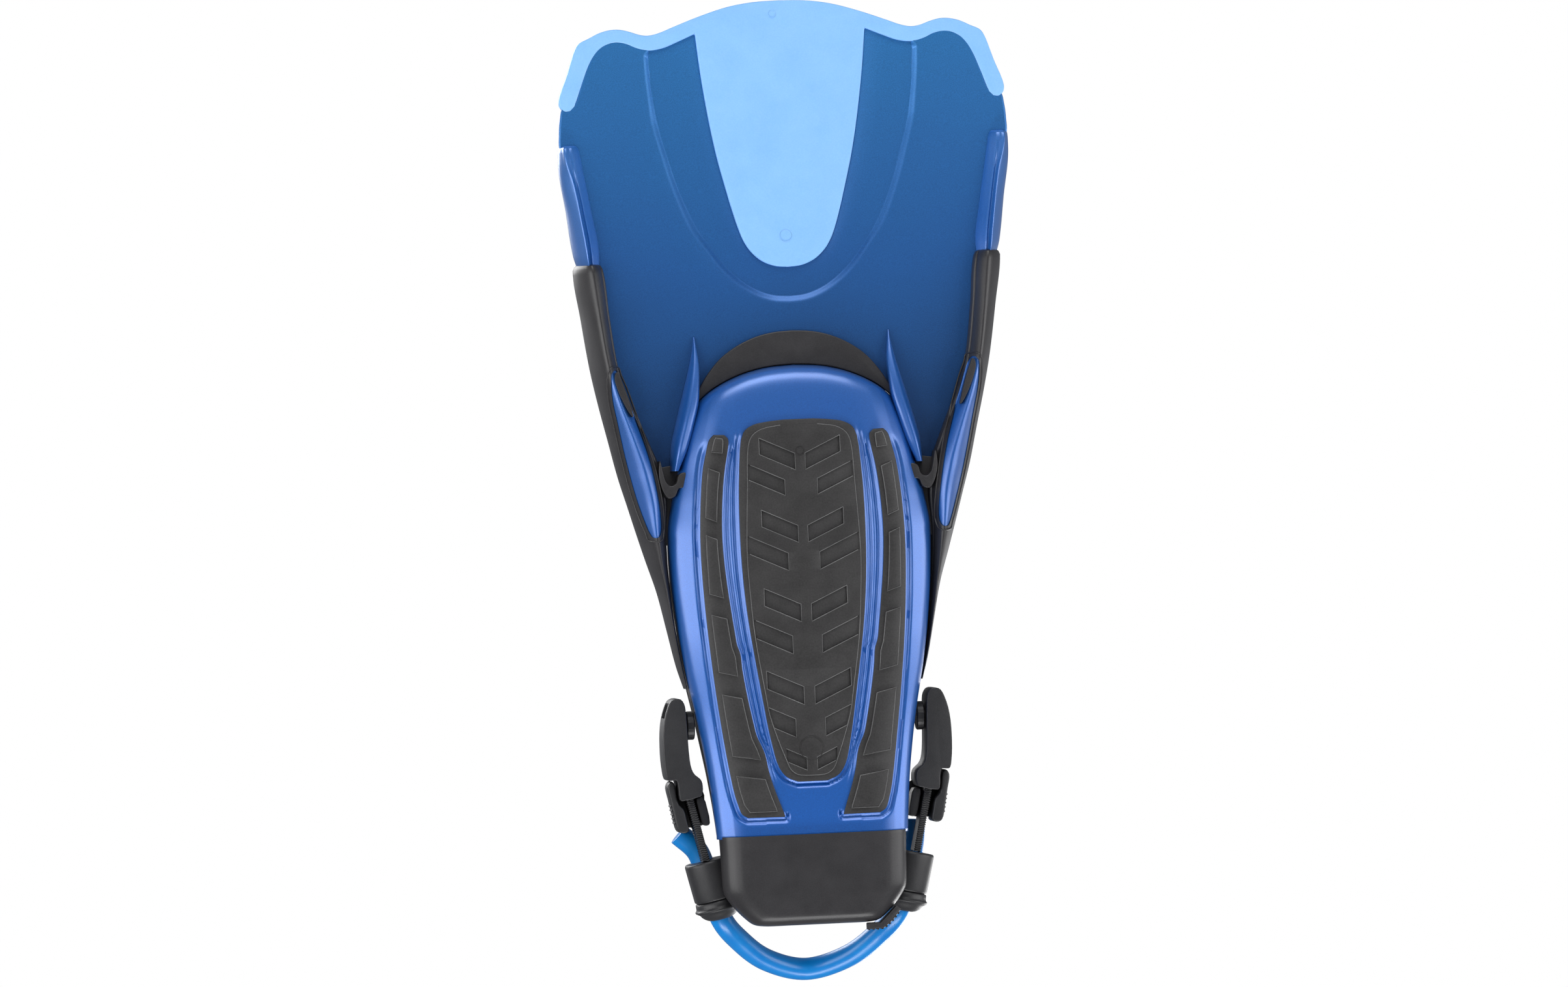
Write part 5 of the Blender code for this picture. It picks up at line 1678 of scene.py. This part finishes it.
def tooth_shape():
    """One tooth: an S-bent bar over the strap's lower edge and up its outer face."""
    rise = Vector((0, 0, 1))
    half = STRAP_THICK / 2
    path = []
    for k in range(7):
        u = k / 6
        wave = 0.34 * MM * math.sin(2 * math.pi * u)
        path.append(OUTWARD * (half * (2 * u - 1)) + STRAP_LINE * wave - rise * 0.05 * MM)
    for k in range(1, 7):
        path.append(
            OUTWARD * (half + 0.05 * MM) + rise * (13.6 * MM * k / 6)
            + STRAP_LINE * (0.5 * MM * math.sin(math.pi * k / 6))
        )
    path = [p - rise * STRAP_WIDE / 2 for p in path]
    return ring_mesh("tooth", pipe_rings(path, 0.36 * MM, 6))


def build_straps():
    length = (STRAP_END - SLOT_POINT).length
    middle = SLOT_POINT + STRAP_LINE * ((length - STRAP_TAIL) / 2)
    middle += Vector((0, 0, STRAP_MIDDLE_Z))
    band = new_object(
        "band", strap_box("band", middle, length + STRAP_TAIL, STRAP_THICK, STRAP_WIDE),
        BLACK_NYLON,
    )
    bevel(band, 0.7, 3, 50)
    settle(band)
    tooth = new_object("tooth", tooth_shape(), BLACK_NYLON)
    base = Vector((0, 0, STRAP_MIDDLE_Z))
    start = SLOT_POINT - STRAP_LINE * (STRAP_TAIL - 4 * MM) + base
    line = [start, STRAP_END - STRAP_LINE * 0.6 * MM + base]
    teeth = run_nodes(
        "teeth", wire("teeth", [line]), teeth_tree(), BLACK_NYLON, 50,
        Tooth=tooth, Pitch=TOOTH_PITCH,
    )
    print("strap teeth:", len(teeth.data.polygons) // len(tooth.data.polygons))
    both_sides("ratchet_strap", band.data, BLACK_NYLON, STRAPS, HARD_SLOT, "ratchet_strap")
    both_sides("strap_teeth", teeth.data, BLACK_NYLON, STRAPS, HARD_SLOT, angle=60)
    for helper in (band, tooth, teeth):
        bpy.data.objects.remove(helper)


build_straps()

# %% [markdown]
# ## Strap housings
#
# A barrel takes the end of the strap and the tube, and a rounded plug closes it. Both are
# oblong rings along the strap: the barrel is plain, with a thin joint between it and the
# plug, and the plug has a short neck, a flange and a domed end. The tube passes through
# them, so no bore has to be cut where nobody can see it.

# %% Strap housings
HOUSING_WIDE, HOUSING_TALL = 23.2, 32.0
MARK_RADIUS = 1.3 * MM


def oblong(centre, wide, tall, steps=48):
    ring = []
    straight = max(tall - wide, 0.0) / 2
    for k in range(steps):
        angle = 2 * math.pi * (k + 0.5) / steps
        c, s = math.cos(angle), math.sin(angle)
        lift = s * wide / 2 + math.copysign(straight, s)
        ring.append(centre + (OUTWARD * (c * wide / 2) + Vector((0, 0, lift))) * MM)
    return ring


def oblong_skin(name, stations):
    """Rings along the strap: distance from the housing's face, then growth across and up."""
    middle = STRAP_END + Vector((0, 0, 36.0 * MM)) - OUTWARD * 0.8 * MM
    rings = []
    for s, wide, tall in stations:
        spot = middle + STRAP_LINE * s * MM
        rings.append(oblong(spot, HOUSING_WIDE + wide, HOUSING_TALL + tall))
    return ring_mesh(name, rings)


def build_housings():
    barrel = [
        (0.3, -2.6, -2.6), (0.4, -1.4, -1.4), (0.8, -0.6, -0.6), (1.4, -0.15, -0.15),
        (2.2, 0.0, 0.0), (8.0, -0.1, -0.1), (14.0, -0.3, -0.3), (20.6, -0.5, -0.5),
        (21.4, -0.7, -0.7), (21.8, -1.2, -1.2), (21.9, -2.4, -2.4),
    ]
    plug = [
        (21.9, -3.4, -3.4), (22.3, -2.8, -2.8), (22.5, -1.4, -1.4), (22.9, -0.7, -0.7),
        (24.6, -0.4, -0.4), (25.6, -0.2, -0.2), (26.0, 0.6, 0.6), (26.4, 1.3, 1.3),
        (27.0, 1.6, 1.6), (27.5, 1.2, 1.2), (27.9, 0.2, 0.2), (28.3, -1.2, -1.4),
        (28.8, -2.4, -2.8), (29.5, -3.3, -4.2), (30.4, -4.4, -6.0), (31.4, -6.4, -8.4),
        (32.2, -9.0, -11.6), (32.8, -12.6, -15.6), (33.0, -17.0, -20.0),
    ]
    for name, stations in (("strap_housing", barrel), ("end_plug", plug)):
        shape = oblong_skin(name, stations)
        both_sides(name, shape, BLACK_NYLON, STRAPS, HARD_SLOT, name, angle=50)
    at = STRAP_END + STRAP_LINE * 11 * MM + Vector((0, 0, 21.2 * MM)) - OUTWARD * 0.8 * MM
    at -= OUTWARD * 5.0 * MM
    turns = [2 * math.pi * k / 20 for k in range(20)]
    ring = [
        at + (OUTWARD * math.cos(a) + STRAP_LINE * math.sin(a)) * MARK_RADIUS for a in turns
    ]
    mesh = only_mesh(beads("mark", [ring], BLACK_NYLON, 0.25, True, 6))
    both_sides("housing_mark", mesh, BLACK_NYLON, STRAPS, HARD_SLOT)


build_housings()

# %% [markdown]
# ## Floor, light and world
#
# The fin rests on a plain pale floor. The camera stands below it, so the floor is seen
# from one side only: its underside is clear, as if the fin lay on a glass table, and it
# takes no part in the fin's own light. Four soft boxes stand below the fin, off to its
# toe, its heel and both sides: from there they graze the sole and draw long highlights
# down its flanks, where a box straight below would wash it out. Two more hang above it.

# %% Floor
FLOOR_HALF = 6.0


def build_floor():
    made, tree, shader, where = new_material("matt_paper_floor")
    noise = add(tree, "ShaderNodeTexNoise", {"Vector": where}, Scale=300.0, Detail=3.0)
    tint = ramp(tree, noise.outputs["Fac"], [(0.3, "#e6e6e4"), (0.7, "#ededeb")])
    tree.links.new(tint.outputs["Color"], shader.inputs["Base Color"])
    shader.inputs["Roughness"].default_value = 0.8
    clear = add(tree, "ShaderNodeBsdfTransparent")
    facing = add(tree, "ShaderNodeNewGeometry")
    mixed = add(
        tree, "ShaderNodeMixShader",
        {0: facing.outputs["Backfacing"], 1: shader.outputs["BSDF"], 2: clear.outputs["BSDF"]},
    )
    output = tree.nodes["Material Output"]
    tree.links.new(mixed.outputs["Shader"], output.inputs["Surface"])
    mesh = bpy.data.meshes.new("floor")
    corners = [(x * FLOOR_HALF, y * FLOOR_HALF, 0) for x, y in ((-1, -1), (1, -1), (1, 1), (-1, 1))]
    mesh.from_pydata(corners, [], [(0, 1, 2, 3)])
    mesh.materials.append(made)
    floor = bpy.data.objects.new("floor", mesh)
    bpy.context.scene.collection.objects.link(floor)
    floor.location.z = -0.0004
    floor.visible_diffuse = floor.visible_glossy = floor.visible_transmission = False
    floor.visible_shadow = False
    floor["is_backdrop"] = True


build_floor()

# %% Lights and world


def soft_box(name, spot, target, size, power, tint="#ffffff"):
    data = bpy.data.lights.new(name, "AREA")
    data.shape = "RECTANGLE"
    data.size, data.size_y = size
    data.energy = power
    data.color = linear(tint)[:3]
    made = bpy.data.objects.new(name, data)
    bpy.context.scene.collection.objects.link(made)
    made.location = spot
    made.rotation_mode = "QUATERNION"
    made.rotation_quaternion = (Vector(target) - Vector(spot)).to_track_quat("-Z", "Y")
    made.visible_camera = False
    return made


soft_box("below_toe", (0, -1.7, -1.25), (0, -0.05, 0), (1.6, 0.9), 26)
soft_box("below_left", (-1.25, 0.1, -0.7), (0, 0, 0), (0.6, 1.8), 16)
soft_box("below_right", (1.3, 0.1, -0.6), (0, 0, 0), (0.6, 1.8), 14)
soft_box("below_heel", (0, 1.5, -0.6), (0, 0.1, 0), (1.2, 0.4), 16)
soft_box("above_left", (-1.0, -0.8, 1.5), (0, 0, 0.02), (1.2, 1.2), 30)
soft_box("above_right", (1.1, 0.9, 1.4), (0, 0, 0.02), (1.0, 1.0), 22)


def build_world():
    """White behind the fin, and a softer grey all round it as the light that it mirrors."""
    world = bpy.data.worlds.new("studio")
    world.use_nodes = True
    tree = world.node_tree
    tree.nodes.clear()
    seen = add(tree, "ShaderNodeBackground", Color=linear("#ffffff"), Strength=1.0)
    lit = add(tree, "ShaderNodeBackground", Color=linear("#f4f7ff"), Strength=0.22)
    path = add(tree, "ShaderNodeLightPath")
    mixed = add(
        tree, "ShaderNodeMixShader",
        {0: path.outputs["Is Camera Ray"], 1: lit.outputs[0], 2: seen.outputs[0]},
    )
    add(tree, "ShaderNodeOutputWorld", {"Surface": mixed.outputs[0]})
    bpy.context.scene.world = world


build_world()
bpy.context.scene.view_settings.view_transform = "Standard"

# %% Print the sizes and finish
low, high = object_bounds()
{"cad": [list(CAD_LOW), list(CAD_HIGH)], "visual": [list(low), list(high)]}
print("dressed size in mm:", [round((h - l) / MM, 1) for l, h in zip(low, high)])
